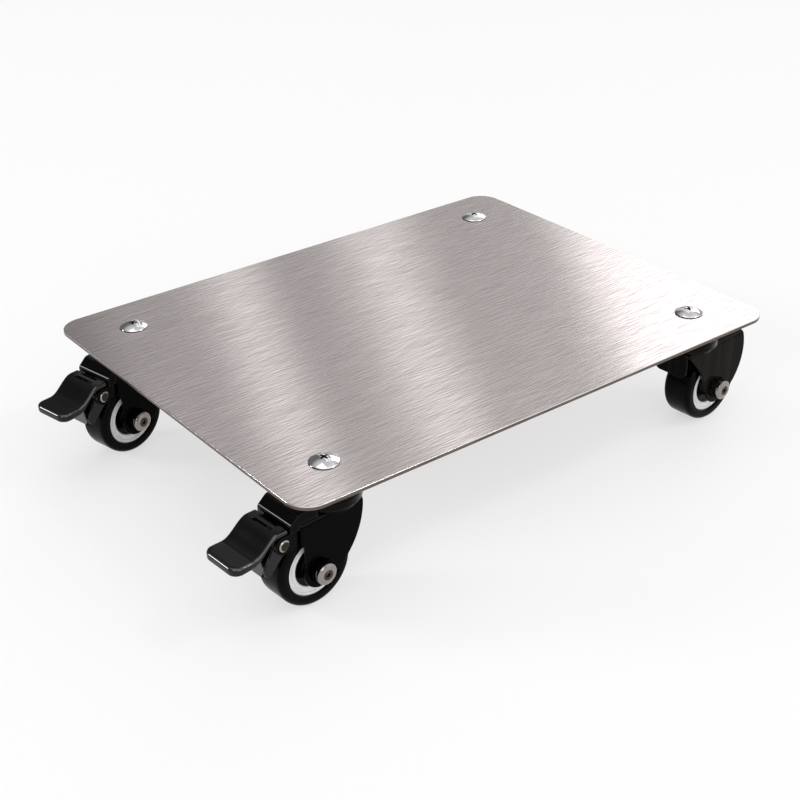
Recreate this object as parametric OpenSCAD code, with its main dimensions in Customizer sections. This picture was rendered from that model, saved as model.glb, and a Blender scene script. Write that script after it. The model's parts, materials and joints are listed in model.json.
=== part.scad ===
// Low rolling base for an appliance: a brushed steel deck on four swivel casters,
// two of them with foot brakes. Millimetres, +Z up, +X along the long side.
// The origin is the centre of the deck's top face.
// Inside a caster's own frame +X is the way the wheel trails and +Y runs along the axle.

/* [Deck] */
// Length of the deck
deck_w = 360; // [300:5:480]
// Depth of the deck
deck_d = 280; // [220:5:400]
// Sheet thickness of the deck
deck_t = 2.5; // [1.5:0.5:5]
// Corner radius of the deck, seen from above
deck_corner_r = 15; // [5:1:25]
// Distance of each caster's screw from the deck's short edges
screw_inset_x = 38; // [32:1:60]
// Distance of each caster's screw from the deck's long edges
screw_inset_y = 34; // [30:1:60]

/* [Deck screw] */
// Thread diameter of the deck screw
screw_d = 8; // [6:1:8]
// Diameter of the screw's domed head
screw_head_d = 17.6; // [15:0.2:20]
// Height of the screw's domed head
screw_head_h = 3.2; // [2.6:0.1:4.5]
// Length of the screw below its head
screw_len = 20; // [14:1:24]
// Radial clearance of the screw in the deck's hole
screw_hole_gap = 0.25; // [0.1:0.05:0.5]
// Width of one arm of the cross recess
recess_arm_w = 1.5; // [1:0.1:2]
// Span of the cross recess from arm to arm
recess_span = 5.6; // [5:0.2:8]
// Depth of the cross recess
recess_depth = 1.8; // [1:0.1:2]

/* [Swivel head] */
// Diameter of the threaded post under the deck
post_d = 16; // [14:0.5:18]
// Height of the threaded post under the deck
post_h = 9.5; // [6:0.5:14]
// Diameter of the king rivet's shank
rivet_d = 12; // [11:0.5:13]
// Diameter of the king rivet's lower flange
rivet_flange_d = 16; // [14.5:0.5:18]
// Thickness of the king rivet's lower flange
rivet_flange_t = 1.5; // [1:0.1:2]
// Running clearance between the king rivet and the fork's bore
rivet_gap = 0.08; // [0.04:0.01:0.1]
// Outer diameter of the upper race
race_d = 40.4; // [39:0.2:44]
// Thickness of the upper race over the balls
race_t = 3; // [2.5:0.1:4]
// Wall of the upper race's skirt
race_wall = 1.7; // [1:0.1:2]
// Space between the upper race and the fork's raised race
race_space = 2.6; // [2.2:0.1:2.8]
// Diameter of the upper bearing balls
upper_ball_d = 4; // [3.6:0.1:4.4]
// Distance of the upper balls from the race's skirt
upper_ball_inset = 2; // [1.5:0.1:2.4]
// Number of upper balls
upper_balls = 14; // [8:1:18]
// Diameter of the lower bearing balls
lower_ball_d = 3; // [2.6:0.1:3.2]
// Circle of the lower balls' centres
lower_pitch_d = 18.4; // [17.6:0.2:19]
// Number of lower balls
lower_balls = 12; // [8:1:16]
// Outer diameter of the lower cup
cup_d = 24; // [23:0.5:25]
// Thickness of the lower cup's floor
cup_t = 2; // [1.5:0.1:2.5]
// Clearance between a ball and its race
ball_gap = 0.1; // [0.05:0.01:0.2]

/* [Fork] */
// Sheet thickness of the fork
fork_t = 2; // [1.5:0.1:2.3]
// Outer width of the fork over its two legs
fork_w = 29.4; // [29:0.2:33]
// Outer radius of the bend between crown and leg
fork_bend_r = 3.5; // [3:0.5:5]
// Distance of the round crown's edge inside the upper race's edge
crown_inset = 2; // [1.8:0.1:3]
// Height of the raised race on the crown
crown_boss_h = 2.9; // [2.4:0.1:3.5]
// Clearance between the raised race on the crown and the upper race's skirt
crown_boss_gap = 1.5; // [1:0.1:2]
// Trail, from the swivel axis to the axle
trail = 17.3; // [14:0.1:22]
// Height of the crown's top face over the axle
axle_drop = 34.5; // [33:0.1:40]
// Radius of the leg's rounded end about the axle
leg_end_r = 10.5; // [9:0.5:12]
// Reach of a braked fork's leg on the leading side
brake_lead = 14; // [12:0.5:18]
// Reach of a braked fork's leg on the trailing side
brake_trail = 29.2; // [27:0.2:32]
// Reach of a plain fork's leg on the trailing side
plain_trail = 43; // [40:0.5:46]
// Reach of a plain fork's leg on the leading side
plain_lead = 15; // [14.5:0.5:18]
// Height of the plain fork's front flap, from the crown's top face down
flap_h = 18; // [12:0.5:20]
// Width of the plain fork's front flap
flap_w = 25.4; // [22:0.2:26]
// Radius of the front flap's lower corners
flap_corner_r = 5; // [3:0.5:8]
// Height of the raised boss on each leg, round the axle
leg_boss_h = 2.2; // [1:0.1:3]
// Diameter of the raised boss on each leg
leg_boss_d = 15; // [14:0.5:17]

/* [Axle] */
// Diameter of the axle bolt
axle_d = 8; // [7:0.5:8.5]
// Diameter of the axle bolt's head
axle_head_d = 13; // [12:0.5:14]
// Height of the axle bolt's head
axle_head_h = 4.3; // [3:0.1:5]
// Width of the axle nut across its flats
nut_across = 13; // [12:0.5:13]
// Height of the axle nut
nut_h = 4; // [3:0.5:6]
// Outer diameter of the sleeve that the wheel turns on
sleeve_d = 12.8; // [12:0.1:13]
// Clearance of fixed pins and bolts in their holes
pin_gap = 0.05; // [0.02:0.01:0.1]

/* [Wheel] */
// Diameter of the wheel
wheel_d = 49; // [46:0.5:50]
// Width of the tyre
wheel_w = 21; // [19:0.2:22]
// Rounding of the tyre's shoulders
tyre_round_r = 3.4; // [1.5:0.1:5]
// Diameter of the wheel core that the tyre is moulded on
core_d = 36.4; // [34:0.2:38]
// Distance of the core's face inside the tyre's face
core_inset = 1.6; // [1:0.1:2]
// Width of the raised lip on the core's rim
core_lip_w = 1.8; // [1:0.1:2.4]
// Width of the groove beside the lip
core_groove_w = 1.4; // [0.8:0.1:2]
// Depth of the groove beside the lip
core_groove_depth = 1.5; // [0.8:0.1:1.8]
// Diameter of the hub cover
cover_d = 25.2; // [24:0.2:27]
// Thickness of the hub cover
cover_t = 0.9; // [0.6:0.1:1.2]
// Outer diameter of the wheel bearing
bearing_d = 22; // [21:0.5:23]
// Width of the wheel bearing
bearing_w = 6.2; // [5.6:0.1:6.6]
// Radial wall of the wheel bearing's outer ring
bearing_wall = 1.4; // [1:0.1:1.6]
// Width of the core's inner shoulder between the two bearings
core_shoulder_w = 2.8; // [2:0.2:4]
// Diameter of the wheel bearing's balls
wheel_ball_d = 4; // [3.6:0.1:4.2]
// Circle of the wheel bearing balls' centres
wheel_pitch_d = 16; // [15.6:0.1:16.4]
// Number of balls in each wheel bearing
wheel_balls = 9; // [6:1:10]

/* [Foot brake] */
// Brake pin's distance behind the swivel axis
brake_pin_x = 38.8; // [37:0.2:42]
// Brake pin's depth below the crown's top face
brake_pin_drop = 9.5; // [9:0.1:12]
// Diameter of the brake pin
brake_pin_d = 5; // [4:0.2:5.4]
// Diameter of the brake pin's heads
brake_pin_head_d = 7; // [6.4:0.2:8]
// Height of each brake pin head
brake_pin_head_h = 1.5; // [1:0.1:2]
// Running clearance between the pedal and its pin
pedal_gap = 0.08; // [0.04:0.01:0.1]
// Sheet thickness of the brake bracket
bracket_t = 1.5; // [1:0.1:1.8]
// Radius of the bracket's ear about the pin
bracket_ear_r = 5.6; // [5:0.1:6.4]
// Height of the hood's rounded lip over the crown
hood_h = 3.4; // [2:0.1:4]
// Radius of the hood's rounded lip
hood_r = 3; // [2.6:0.1:4]
// Reach of the hood behind the swivel axis
hood_reach = 35.6; // [35:0.1:36]
// Height of the hood's roof over the crown
roof_h = 6.9; // [6:0.1:7.5]
// Start of the hood's roof behind the swivel axis
roof_start = 17; // [16:0.5:20]
// Slope from the roof down to the lip, in degrees
roof_slope = 40; // [35:1:50]
// Clearance between the hood and the upper race
roof_gap = 0.8; // [0.5:0.1:1.2]
// Length of the pedal's tip behind the swivel axis
pedal_reach = 72.5; // [66:0.5:80]
// Width of the pedal
pedal_w = 28.8; // [26:0.2:31]
// Thickness of the pedal at its upper end
pedal_t = 3; // [2.4:0.1:3.6]
// Thickness of the pedal at its tip
pedal_tip_t = 5; // [4:0.2:6]
// Height of the pedal's upper end over the crown's top face
pedal_rise = 0.6; // [0:0.1:1.2]
// Fall of the pedal from its upper end to its tip
pedal_fall = 9.6; // [6:0.2:12]
// Start of the pedal's slope behind the swivel axis
pedal_slope_start = 43; // [41:0.5:46]
// Length of the pedal's slope
pedal_slope_len = 17; // [12:0.5:20]
// Radius of the pedal's tip corners, seen from above
pedal_corner_r = 6; // [3:0.5:9]
// Radius of the pedal's cheeks about the pin
cheek_r = 5; // [4.4:0.1:5.4]
// Thickness of each pedal cheek
cheek_t = 1.7; // [1.2:0.1:2]
// Side clearance between pedal cheek and bracket
cheek_gap = 0.3; // [0.2:0.1:0.5]
// Depth of the two grip grooves in the pedal's upper end
groove_depth = 1.4; // [0.8:0.1:1.8]
// Length of each grip groove, across the pedal
groove_len = 15; // [10:0.5:20]
// Width of each grip groove
groove_w = 2.4; // [1.6:0.1:2.8]
// Distance from one grip groove to the next
groove_pitch = 4.4; // [3.4:0.1:5]
// Distance of the first grip groove's middle from the pedal's upper end
groove_start = 2.1; // [1.8:0.1:3]
// Length of the brake lever that hangs from the pin, to the middle of its round end
lever_len = 16.2; // [14:0.1:17.5]
// Radius of the brake lever's round end
lever_end_r = 3; // [2:0.1:3.4]
// Fall of the brake lever behind the pin, in degrees
lever_fall = 53; // [48:1:58]
// Brake travel that presses the shoe to the tyre, in degrees
brake_travel = 18; // [12:1:24]
// Radius of the shoe's body about the pin
shoe_r = 4.4; // [3.8:0.1:4.8]
// Clearance left between the shoe and the tyre with the brake on
shoe_gap = 0.4; // [0.3:0.1:0.8]
// Thickness of the steel strap between the two brake levers
strap_t = 1.8; // [1.2:0.1:2.2]
// Length of the strap past the middle of the levers' round ends
strap_past = 4.4; // [3.2:0.1:5]
// Thickness of the brake's leaf spring
spring_t = 0.8; // [0.5:0.1:1]
// Clearance between the leaf spring and the shoe
spring_gap = 0.4; // [0.3:0.1:0.6]

/* [Placing] */
// Swivel of the front caster about its screw, in degrees
front_turn = 184; // [0:1:359]
// Swivel of the left caster about its screw, in degrees
left_turn = 192; // [0:1:359]
// Swivel of the right caster about its screw, in degrees
right_turn = 3.5; // [0:0.5:359]
// Swivel of the back caster about its screw, in degrees
back_turn = 354; // [0:1:359]

/* [Hidden] */
$fn = 64;
eps = 0.01;
bend_steps = 24;

CASTERS = ["front", "left", "right", "back"];
BRAKED = ["front", "left"];
CASTER_PIECES = ["king_rivet", "upper_race", "swivel_balls", "lower_cup", "fork", "axle_bolt",
    "axle_nut", "axle_sleeve", "bearing_rings", "wheel_core", "tyre", "hub_covers"];
BRAKE_PIECES = ["brake_bracket", "brake_pin", "brake_pedal", "brake_shoe", "brake_spring"];

screw_x = deck_w / 2 - screw_inset_x;
screw_y = deck_d / 2 - screw_inset_y;
caster_at = [[-screw_x, -screw_y], [-screw_x, screw_y], [screw_x, -screw_y], [screw_x, screw_y]];
caster_turn = [front_turn, left_turn, right_turn, back_turn];
// Side of the caster that shows the axle bolt's head
head_side = [1, 1, -1, -1];

// Heights in a caster, from the deck down
post_bottom = -deck_t - post_h;
race_bottom = post_bottom - race_t;
upper_ball_z = race_bottom - race_space / 2;
boss_top = race_bottom - race_space;
crown_top = boss_top - crown_boss_h;
crown_bottom = crown_top - fork_t;
skirt_bottom = crown_top + 1;
lower_ball_z = crown_bottom - lower_ball_d / 2 - 3 * ball_gap;
cup_floor = lower_ball_z - 0.6 * lower_ball_d / 2;
cup_bottom = cup_floor - cup_t;
axle_z = crown_top - axle_drop;

// Diameters of the swivel head, from the upper race inwards
skirt_inner_d = race_d - 2 * race_wall;
upper_pitch_d = skirt_inner_d - upper_ball_d - 2 * upper_ball_inset;
crown_d = race_d - 2 * crown_inset;
crown_boss_d = skirt_inner_d - 2 * crown_boss_gap;

// Widths across a caster
leg_out = fork_w / 2;
leg_in = leg_out - fork_t;
leg_face = leg_out + leg_boss_h;
core_face = wheel_w / 2 - core_inset;
seat_face = core_shoulder_w / 2 + bearing_w;

wheel_r = wheel_d / 2;
core_r = core_d / 2;
cover_r = cover_d / 2;
bearing_r = bearing_d / 2;

// The brake, in the caster's frame
brake_pin_z = crown_top - brake_pin_drop;
bracket_out = leg_in;
bracket_in = bracket_out - bracket_t;
cheek_out = bracket_in - cheek_gap;
cheek_in = cheek_out - cheek_t;
shoe_half_w = cheek_in - cheek_gap;
pin_to_axle = norm([brake_pin_x - trail, brake_pin_z - axle_z]);
axle_bearing = atan2(axle_z - brake_pin_z, trail - brake_pin_x);
shoe_nose_r = pin_to_axle - wheel_r - shoe_gap;
wall_x = brake_trail + 0.4;
lip_x = hood_reach - hood_r;
hood_top = crown_top + hood_h;
hood_lift = 0.3;
pedal_start = hood_reach + 1.2;
pedal_top_z = crown_top + pedal_rise;

// Points on an arc about [x, z], from angle a to angle b
function arc_points(x, z, r, a, b, steps = bend_steps) =
    [for (i = [0:steps]) let (t = a + (b - a) * i / steps) [x + r * cos(t), z + r * sin(t)]];

// Points on a curve from p to q that is drawn towards c
function curve_points(p, c, q, steps = bend_steps) =
    [for (i = [0:steps]) let (t = i / steps) (1 - t) * (1 - t) * p + 2 * t * (1 - t) * c + t * t * q];

// Radius of the arc that reaches out from the axle and runs into the leg's rounded end
function reach_r(reach, drop) =
    (reach * reach + drop * drop - leg_end_r * leg_end_r) / (2 * (reach - leg_end_r));

// Smooth step from 0 to 1
function ease(t) = let (k = min(1, max(0, t))) k * k * (3 - 2 * k);

// Carries a piece from the caster's frame to its place under the deck
module at_caster(i) {
    translate([caster_at[i][0], caster_at[i][1], 0]) rotate([0, 0, caster_turn[i]]) children();
}

// Turns a shape drawn about Z onto the axle
module on_axle() {
    translate([trail, 0, axle_z]) rotate([90, 0, 0]) children();
}

// Extrudes a side view, drawn in X and Z, over a width centred on the caster
module across(w) {
    rotate([90, 0, 0]) linear_extrude(w, center = true) children();
}

// Extrudes a section, drawn in Y and Z, along X
module along(len) {
    rotate([90, 0, 90]) linear_extrude(len, center = true) children();
}

module ball_ring(count, pitch_d, d, z) {
    for (i = [0:count - 1])
        rotate([0, 0, i * 360 / count]) translate([pitch_d / 2, 0, z]) sphere(d = d, $fn = 24);
}

module ball_groove(pitch_d, d, z) {
    rotate_extrude() translate([pitch_d / 2, z]) circle(d = d + 2 * ball_gap, $fn = 32);
}

// Deck and its screws
module deck_outline() {
    straight_w = deck_w - 2 * deck_corner_r;
    straight_d = deck_d - 2 * deck_corner_r;
    square([straight_w, deck_d], center = true);
    square([deck_w, straight_d], center = true);
    for (x = [-1, 1]) for (y = [-1, 1])
        translate([x * straight_w / 2, y * straight_d / 2]) circle(r = deck_corner_r);
}

module deck_plate() {
    color("silver") translate([0, 0, -deck_t]) linear_extrude(deck_t) difference() {
        deck_outline();
        for (p = caster_at) translate(p) circle(d = screw_d + 2 * screw_hole_gap);
    }
}

module screw_head() {
    dome_r = (pow(screw_head_d / 2, 2) + pow(screw_head_h, 2)) / (2 * screw_head_h);
    difference() {
        intersection() {
            cylinder(h = screw_head_h, d = screw_head_d);
            translate([0, 0, screw_head_h - dome_r]) sphere(r = dome_r);
        }
        for (a = [0, 90]) rotate([0, 0, a])
            translate([-recess_span / 2, -recess_arm_w / 2, screw_head_h - recess_depth])
                cube([recess_span, recess_arm_w, screw_head_h]);
    }
}

module deck_screws() {
    color("gainsboro") for (i = [0:3]) at_caster(i) {
        screw_head();
        translate([0, 0, -screw_len]) cylinder(h = screw_len, d = screw_d);
    }
}

// Swivel head
module king_rivet() {
    color("dimgray") difference() {
        union() {
            translate([0, 0, post_bottom]) cylinder(h = post_h, d = post_d);
            translate([0, 0, cup_bottom]) cylinder(h = post_bottom - cup_bottom + eps, d = rivet_d);
            translate([0, 0, cup_bottom - rivet_flange_t])
                cylinder(h = rivet_flange_t, d = rivet_flange_d);
        }
        translate([0, 0, cup_bottom - rivet_flange_t - 1])
            cylinder(h = -cup_bottom + rivet_flange_t + 1, d = screw_d + 2 * pin_gap);
    }
}

module upper_race() {
    color("darkgray") difference() {
        translate([0, 0, skirt_bottom]) cylinder(h = post_bottom - skirt_bottom, d = race_d);
        translate([0, 0, skirt_bottom - 1])
            cylinder(h = race_bottom - skirt_bottom + 1, d = skirt_inner_d);
        translate([0, 0, race_bottom - 1]) cylinder(h = race_t + 2, d = rivet_d + 2 * pin_gap);
        ball_groove(upper_pitch_d, upper_ball_d, upper_ball_z);
    }
}

module swivel_balls() {
    color("lightgray") {
        ball_ring(upper_balls, upper_pitch_d, upper_ball_d, upper_ball_z);
        ball_ring(lower_balls, lower_pitch_d, lower_ball_d, lower_ball_z);
    }
}

module lower_cup() {
    rim_top = crown_bottom - 5 * ball_gap;
    rim_wall = 0.8;
    color("darkgray") difference() {
        translate([0, 0, cup_bottom]) cylinder(h = rim_top - cup_bottom, d = cup_d);
        translate([0, 0, cup_floor]) cylinder(h = rim_top - cup_floor + 1, d = cup_d - 2 * rim_wall);
        translate([0, 0, cup_bottom - 1]) cylinder(h = cup_t + 2, d = rivet_d + 2 * pin_gap);
        ball_groove(lower_pitch_d, lower_ball_d, lower_ball_z);
    }
}

// Fork
function axle_end_arc(a, b) = arc_points(trail, axle_z, leg_end_r, a, b);

// Side view of a braked fork: the wide side leads, the brake takes the trailing side
function braked_outline() =
    let (reach = trail + brake_lead,
        drop_z = crown_top - 2,
        r = reach_r(reach, drop_z - axle_z),
        cx = r - brake_lead,
        meet = atan2(axle_z - drop_z, trail - cx) + 360,
        flank_x = trail + 0.88 * leg_end_r,
        flank_a = acos(0.88),
        step_z = axle_z + 0.42 * axle_drop)
    concat(
        [[-brake_lead, crown_top]],
        arc_points(cx, drop_z, r, 180, meet),
        axle_end_arc(meet, 360 + flank_a),
        curve_points([flank_x, step_z], [flank_x, step_z + 5], [brake_trail, step_z + 6], 8),
        [[brake_trail, crown_top]]);

// Side view of a plain fork: the leg sweeps back over the wheel and is cut away in front
function plain_outline() =
    let (reach = plain_trail - trail,
        drop_z = crown_top - 12.5,
        r = reach_r(reach, drop_z - axle_z),
        cx = plain_trail - r,
        meet = atan2(axle_z - drop_z, trail - cx),
        top_a = asin((crown_top - drop_z) / r),
        front_a = 180 + 4)
    concat(
        [[-plain_lead, crown_top]],
        curve_points([-plain_lead, crown_top - 1.5], [4, axle_z + 0.4 * axle_drop],
            [trail + leg_end_r * cos(front_a), axle_z + leg_end_r * sin(front_a)]),
        axle_end_arc(front_a, 360 + meet),
        arc_points(cx, drop_z, r, meet, top_a));

// Section of the bent sheet, drawn in Y and Z, from the crown down past the axle
module u_section(half_w, top, r) {
    depth = top - axle_z + 2 * leg_end_r;
    translate([-half_w, top - depth]) square([2 * half_w, depth - r]);
    translate([-half_w + r, top - depth]) square([2 * (half_w - r), depth]);
    for (s = [-1, 1]) translate([s * (half_w - r), top - r]) circle(r = r);
}

// Flap bent down from the front of a plain fork's crown, drawn in Y and Z
module flap_outline() {
    bottom = crown_top - flap_h;
    translate([-flap_w / 2, bottom + flap_corner_r])
        square([flap_w, flap_h - flap_corner_r - fork_t / 2]);
    translate([-flap_w / 2 + flap_corner_r, bottom])
        square([flap_w - 2 * flap_corner_r, flap_h - fork_t / 2]);
    for (s = [-1, 1]) translate([s * (flap_w / 2 - flap_corner_r), bottom + flap_corner_r])
        circle(r = flap_corner_r);
}

module fork(outline, with_flap) {
    color("black") difference() {
        union() {
            if (with_flap) translate([fork_t / 2 - plain_lead, 0, 0]) along(fork_t) flap_outline();
            intersection() {
                across(fork_w + 2) polygon(outline);
                along(150) difference() {
                    u_section(leg_out, crown_top, fork_bend_r);
                    u_section(leg_in, crown_bottom, fork_bend_r - fork_t);
                }
            }
            translate([0, 0, crown_bottom]) cylinder(h = fork_t, d = crown_d);
            translate([0, 0, crown_bottom]) cylinder(h = boss_top - crown_bottom, d = crown_boss_d);
            on_axle() for (s = [-1, 1]) translate([0, 0, s * (leg_out + leg_boss_h / 2)])
                cylinder(h = leg_boss_h, d = leg_boss_d, center = true);
        }
        translate([0, 0, crown_bottom - 1])
            cylinder(h = boss_top - crown_bottom + 2, d = rivet_d + 2 * rivet_gap);
        ball_groove(upper_pitch_d, upper_ball_d, upper_ball_z);
        on_axle() cylinder(h = 4 * leg_face, d = axle_d + 2 * pin_gap, center = true);
    }
}

// Axle
module axle_bolt(side) {
    dimple_d = 3;
    dimple_depth = 1.2;
    edge_h = 0.55 * axle_head_h;
    dome_h = axle_head_h - edge_h;
    dome_r = (pow(axle_head_d / 2, 2) + pow(dome_h, 2)) / (2 * dome_h);
    color("silver") on_axle() rotate([side > 0 ? 180 : 0, 0, 0]) difference() {
        union() {
            translate([0, 0, leg_face]) cylinder(h = edge_h, d = axle_head_d);
            translate([0, 0, leg_face + edge_h]) intersection() {
                cylinder(h = dome_h, d = axle_head_d);
                translate([0, 0, dome_h - dome_r]) sphere(r = dome_r);
            }
            translate([0, 0, -leg_face - nut_h - 1])
                cylinder(h = 2 * leg_face + nut_h + 1 + eps, d = axle_d);
        }
        translate([0, 0, leg_face + axle_head_h - dimple_depth])
            cylinder(h = dimple_depth + 1, d = dimple_d);
    }
}

module axle_nut(side) {
    color("silver") on_axle() rotate([side > 0 ? 180 : 0, 0, 0])
        translate([0, 0, -leg_face - nut_h]) difference() {
            cylinder(h = nut_h, d = nut_across / cos(30), $fn = 6);
            translate([0, 0, -1]) cylinder(h = nut_h + 2, d = axle_d + 2 * pin_gap);
        }
}

module axle_sleeve() {
    color("gray") on_axle() difference() {
        cylinder(h = 2 * leg_in, d = sleeve_d, center = true);
        cylinder(h = 2 * leg_in + 2, d = axle_d + 2 * pin_gap, center = true);
        for (s = [-1, 1]) ball_groove(wheel_pitch_d, wheel_ball_d, s * (seat_face - bearing_w / 2));
    }
}

// Wheel
module bearing_rings() {
    color("lightgray") on_axle() for (s = [-1, 1]) {
        middle = s * (seat_face - bearing_w / 2);
        difference() {
            translate([0, 0, middle])
                cylinder(h = bearing_w, d = bearing_d - 2 * pin_gap, center = true);
            translate([0, 0, middle])
                cylinder(h = bearing_w + 2, d = bearing_d - 2 * bearing_wall, center = true);
            ball_groove(wheel_pitch_d, wheel_ball_d, middle);
        }
        ball_ring(wheel_balls, wheel_pitch_d, wheel_ball_d, middle);
    }
}

module wheel_core() {
    lip_r = core_r - core_lip_w;
    groove_r = lip_r - core_groove_w;
    color("whitesmoke") on_axle() difference() {
        cylinder(h = 2 * core_face, d = core_d - 2 * pin_gap, center = true);
        cylinder(h = 2 * core_face + 2, d = bearing_d - 2 * bearing_wall - 1, center = true);
        for (s = [-1, 1]) {
            translate([0, 0, s * (core_shoulder_w / 2 + core_face)])
                cylinder(h = 2 * core_face, d = bearing_d, center = true);
            translate([0, 0, s * (seat_face + core_face)])
                cylinder(h = 2 * core_face, d = cover_d + 2 * pin_gap, center = true);
            translate([0, 0, s * (core_face - core_groove_depth / 2 + 0.5)]) difference() {
                cylinder(h = core_groove_depth + 1, r = lip_r, center = true);
                cylinder(h = core_groove_depth + 2, r = groove_r, center = true);
            }
        }
    }
}

module tyre() {
    wall = wheel_r - core_r;
    color("#151515") on_axle() rotate_extrude() intersection() {
        translate([core_r, -wheel_w / 2]) square([wall, wheel_w]);
        union() {
            translate([core_r, -wheel_w / 2]) square([wall - tyre_round_r, wheel_w]);
            translate([core_r, -wheel_w / 2 + tyre_round_r])
                square([wall, wheel_w - 2 * tyre_round_r]);
            for (s = [-1, 1])
                translate([wheel_r - tyre_round_r, s * (wheel_w / 2 - tyre_round_r)])
                    circle(r = tyre_round_r);
        }
    }
}

module hub_covers() {
    color("#202020") on_axle() for (s = [-1, 1])
        translate([0, 0, s * (seat_face + cover_t / 2)]) difference() {
            cylinder(h = cover_t, d = cover_d, center = true);
            cylinder(h = cover_t + 2, d = sleeve_d + 1, center = true);
        }
}

// Foot brake

// Side view of the hood, set in by t: a roof, a slope, a rounded lip and an upright front
module hood_outline(t, crown_edge, lip_edge) {
    r = hood_r - t;
    corner_a = 90 - roof_slope;
    bend = [lip_x + r * cos(corner_a), hood_top - hood_r + r * sin(corner_a)];
    roof_z = crown_top + roof_h - t;
    polygon(concat(
        [[roof_start, roof_z], [bend[0] - (roof_z - bend[1]) / tan(roof_slope), roof_z]],
        arc_points(lip_x, hood_top - hood_r, r, corner_a, 0),
        [[lip_x + r, lip_edge], [wall_x, lip_edge], [wall_x, crown_edge], [roof_start, crown_edge]]));
}

module brake_bracket() {
    web_start = 20;
    web_bottom = crown_bottom - bracket_t;
    ear_z = brake_pin_z;
    bracket_bend_r = fork_bend_r - fork_t + 0.5;
    color("#101010") difference() {
        union() {
            intersection() {
                along(150) u_section(bracket_out, crown_bottom, bracket_bend_r);
                union() {
                    // Side plates inside the fork's legs, with a rounded ear about the pin
                    for (s = [-1, 1]) translate([0, s * (bracket_out - bracket_t / 2), 0]) {
                        across(bracket_t) polygon([
                            [web_start, crown_bottom],
                            [lip_x, crown_bottom],
                            [brake_pin_x + bracket_ear_r * cos(60), ear_z + bracket_ear_r * sin(60)],
                            [brake_pin_x, ear_z - bracket_ear_r],
                            [web_start + 6, crown_bottom - 8]]);
                        translate([brake_pin_x, 0, ear_z]) rotate([90, 0, 0])
                            cylinder(h = bracket_t, r = bracket_ear_r, center = true);
                    }
                    // Web under the crown
                    translate([web_start, -bracket_out, web_bottom])
                        cube([wall_x + bracket_t - web_start, 2 * bracket_out, bracket_t]);
                }
            }
            // Rear wall, and the hood behind the crown
            translate([wall_x, -bracket_out + bracket_bend_r, web_bottom])
                cube([bracket_t, 2 * (bracket_out - bracket_bend_r), hood_top - hood_r - web_bottom]);
            difference() {
                across(fork_w) hood_outline(0, crown_top + hood_lift, crown_bottom - 1);
                across(fork_w - 2 * bracket_t) translate([-eps, 0])
                    hood_outline(bracket_t, crown_bottom - 2, crown_bottom - 2);
                translate([0, 0, crown_bottom]) cylinder(h = -crown_bottom, r = race_d / 2 + roof_gap);
            }
        }
        translate([brake_pin_x, 0, ear_z]) rotate([90, 0, 0])
            cylinder(h = fork_w, d = brake_pin_d + 2 * pin_gap, center = true);
    }
}

module brake_pin() {
    color("silver") translate([brake_pin_x, 0, brake_pin_z]) rotate([90, 0, 0]) {
        cylinder(h = 2 * bracket_out + brake_pin_head_h, d = brake_pin_d, center = true);
        for (s = [-1, 1]) translate([0, 0, s * (bracket_out + brake_pin_head_h / 2)])
            cylinder(h = brake_pin_head_h, d = brake_pin_head_d, center = true);
    }
}

// Height of the pedal's top face at x
function pedal_z(x) = pedal_top_z - pedal_fall * ease((x - pedal_slope_start) / pedal_slope_len);

// Thickness of the pedal at x
function pedal_thick(x) =
    pedal_t + (pedal_tip_t - pedal_t) * ease((x - pedal_slope_start) / (pedal_reach - pedal_slope_start));

module pedal_profile() {
    tip_x = pedal_reach - pedal_tip_t / 2;
    xs = [for (i = [0:bend_steps]) pedal_start + (tip_x - pedal_start) * i / bend_steps];
    polygon(concat(
        [for (x = xs) [x, pedal_z(x)]],
        [for (i = [bend_steps:-1:0]) [xs[i], pedal_z(xs[i]) - pedal_thick(xs[i])]]));
    translate([tip_x, pedal_z(tip_x) - pedal_tip_t / 2]) circle(d = pedal_tip_t);
}

// The pedal seen from above, with round tip corners
module pedal_plan() {
    len = pedal_reach - pedal_start;
    translate([pedal_start, -pedal_w / 2]) square([len - pedal_corner_r, pedal_w]);
    translate([pedal_start, -pedal_w / 2 + pedal_corner_r])
        square([len, pedal_w - 2 * pedal_corner_r]);
    for (s = [-1, 1])
        translate([pedal_reach - pedal_corner_r, s * (pedal_w / 2 - pedal_corner_r)])
            circle(r = pedal_corner_r);
}

// Lever that hangs from the pin behind the wheel, in side view
module lever_outline() {
    side_a = acos((cheek_r - lever_end_r) / lever_len);
    end = [lever_len * cos(lever_fall), -lever_len * sin(lever_fall)];
    polygon([
        for (s = [-1, 1]) [cheek_r * cos(s * side_a - lever_fall), cheek_r * sin(s * side_a - lever_fall)],
        for (s = [1, -1]) end + lever_end_r * [cos(s * side_a - lever_fall), sin(s * side_a - lever_fall)]]);
    translate(end) circle(r = lever_end_r);
}

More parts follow.
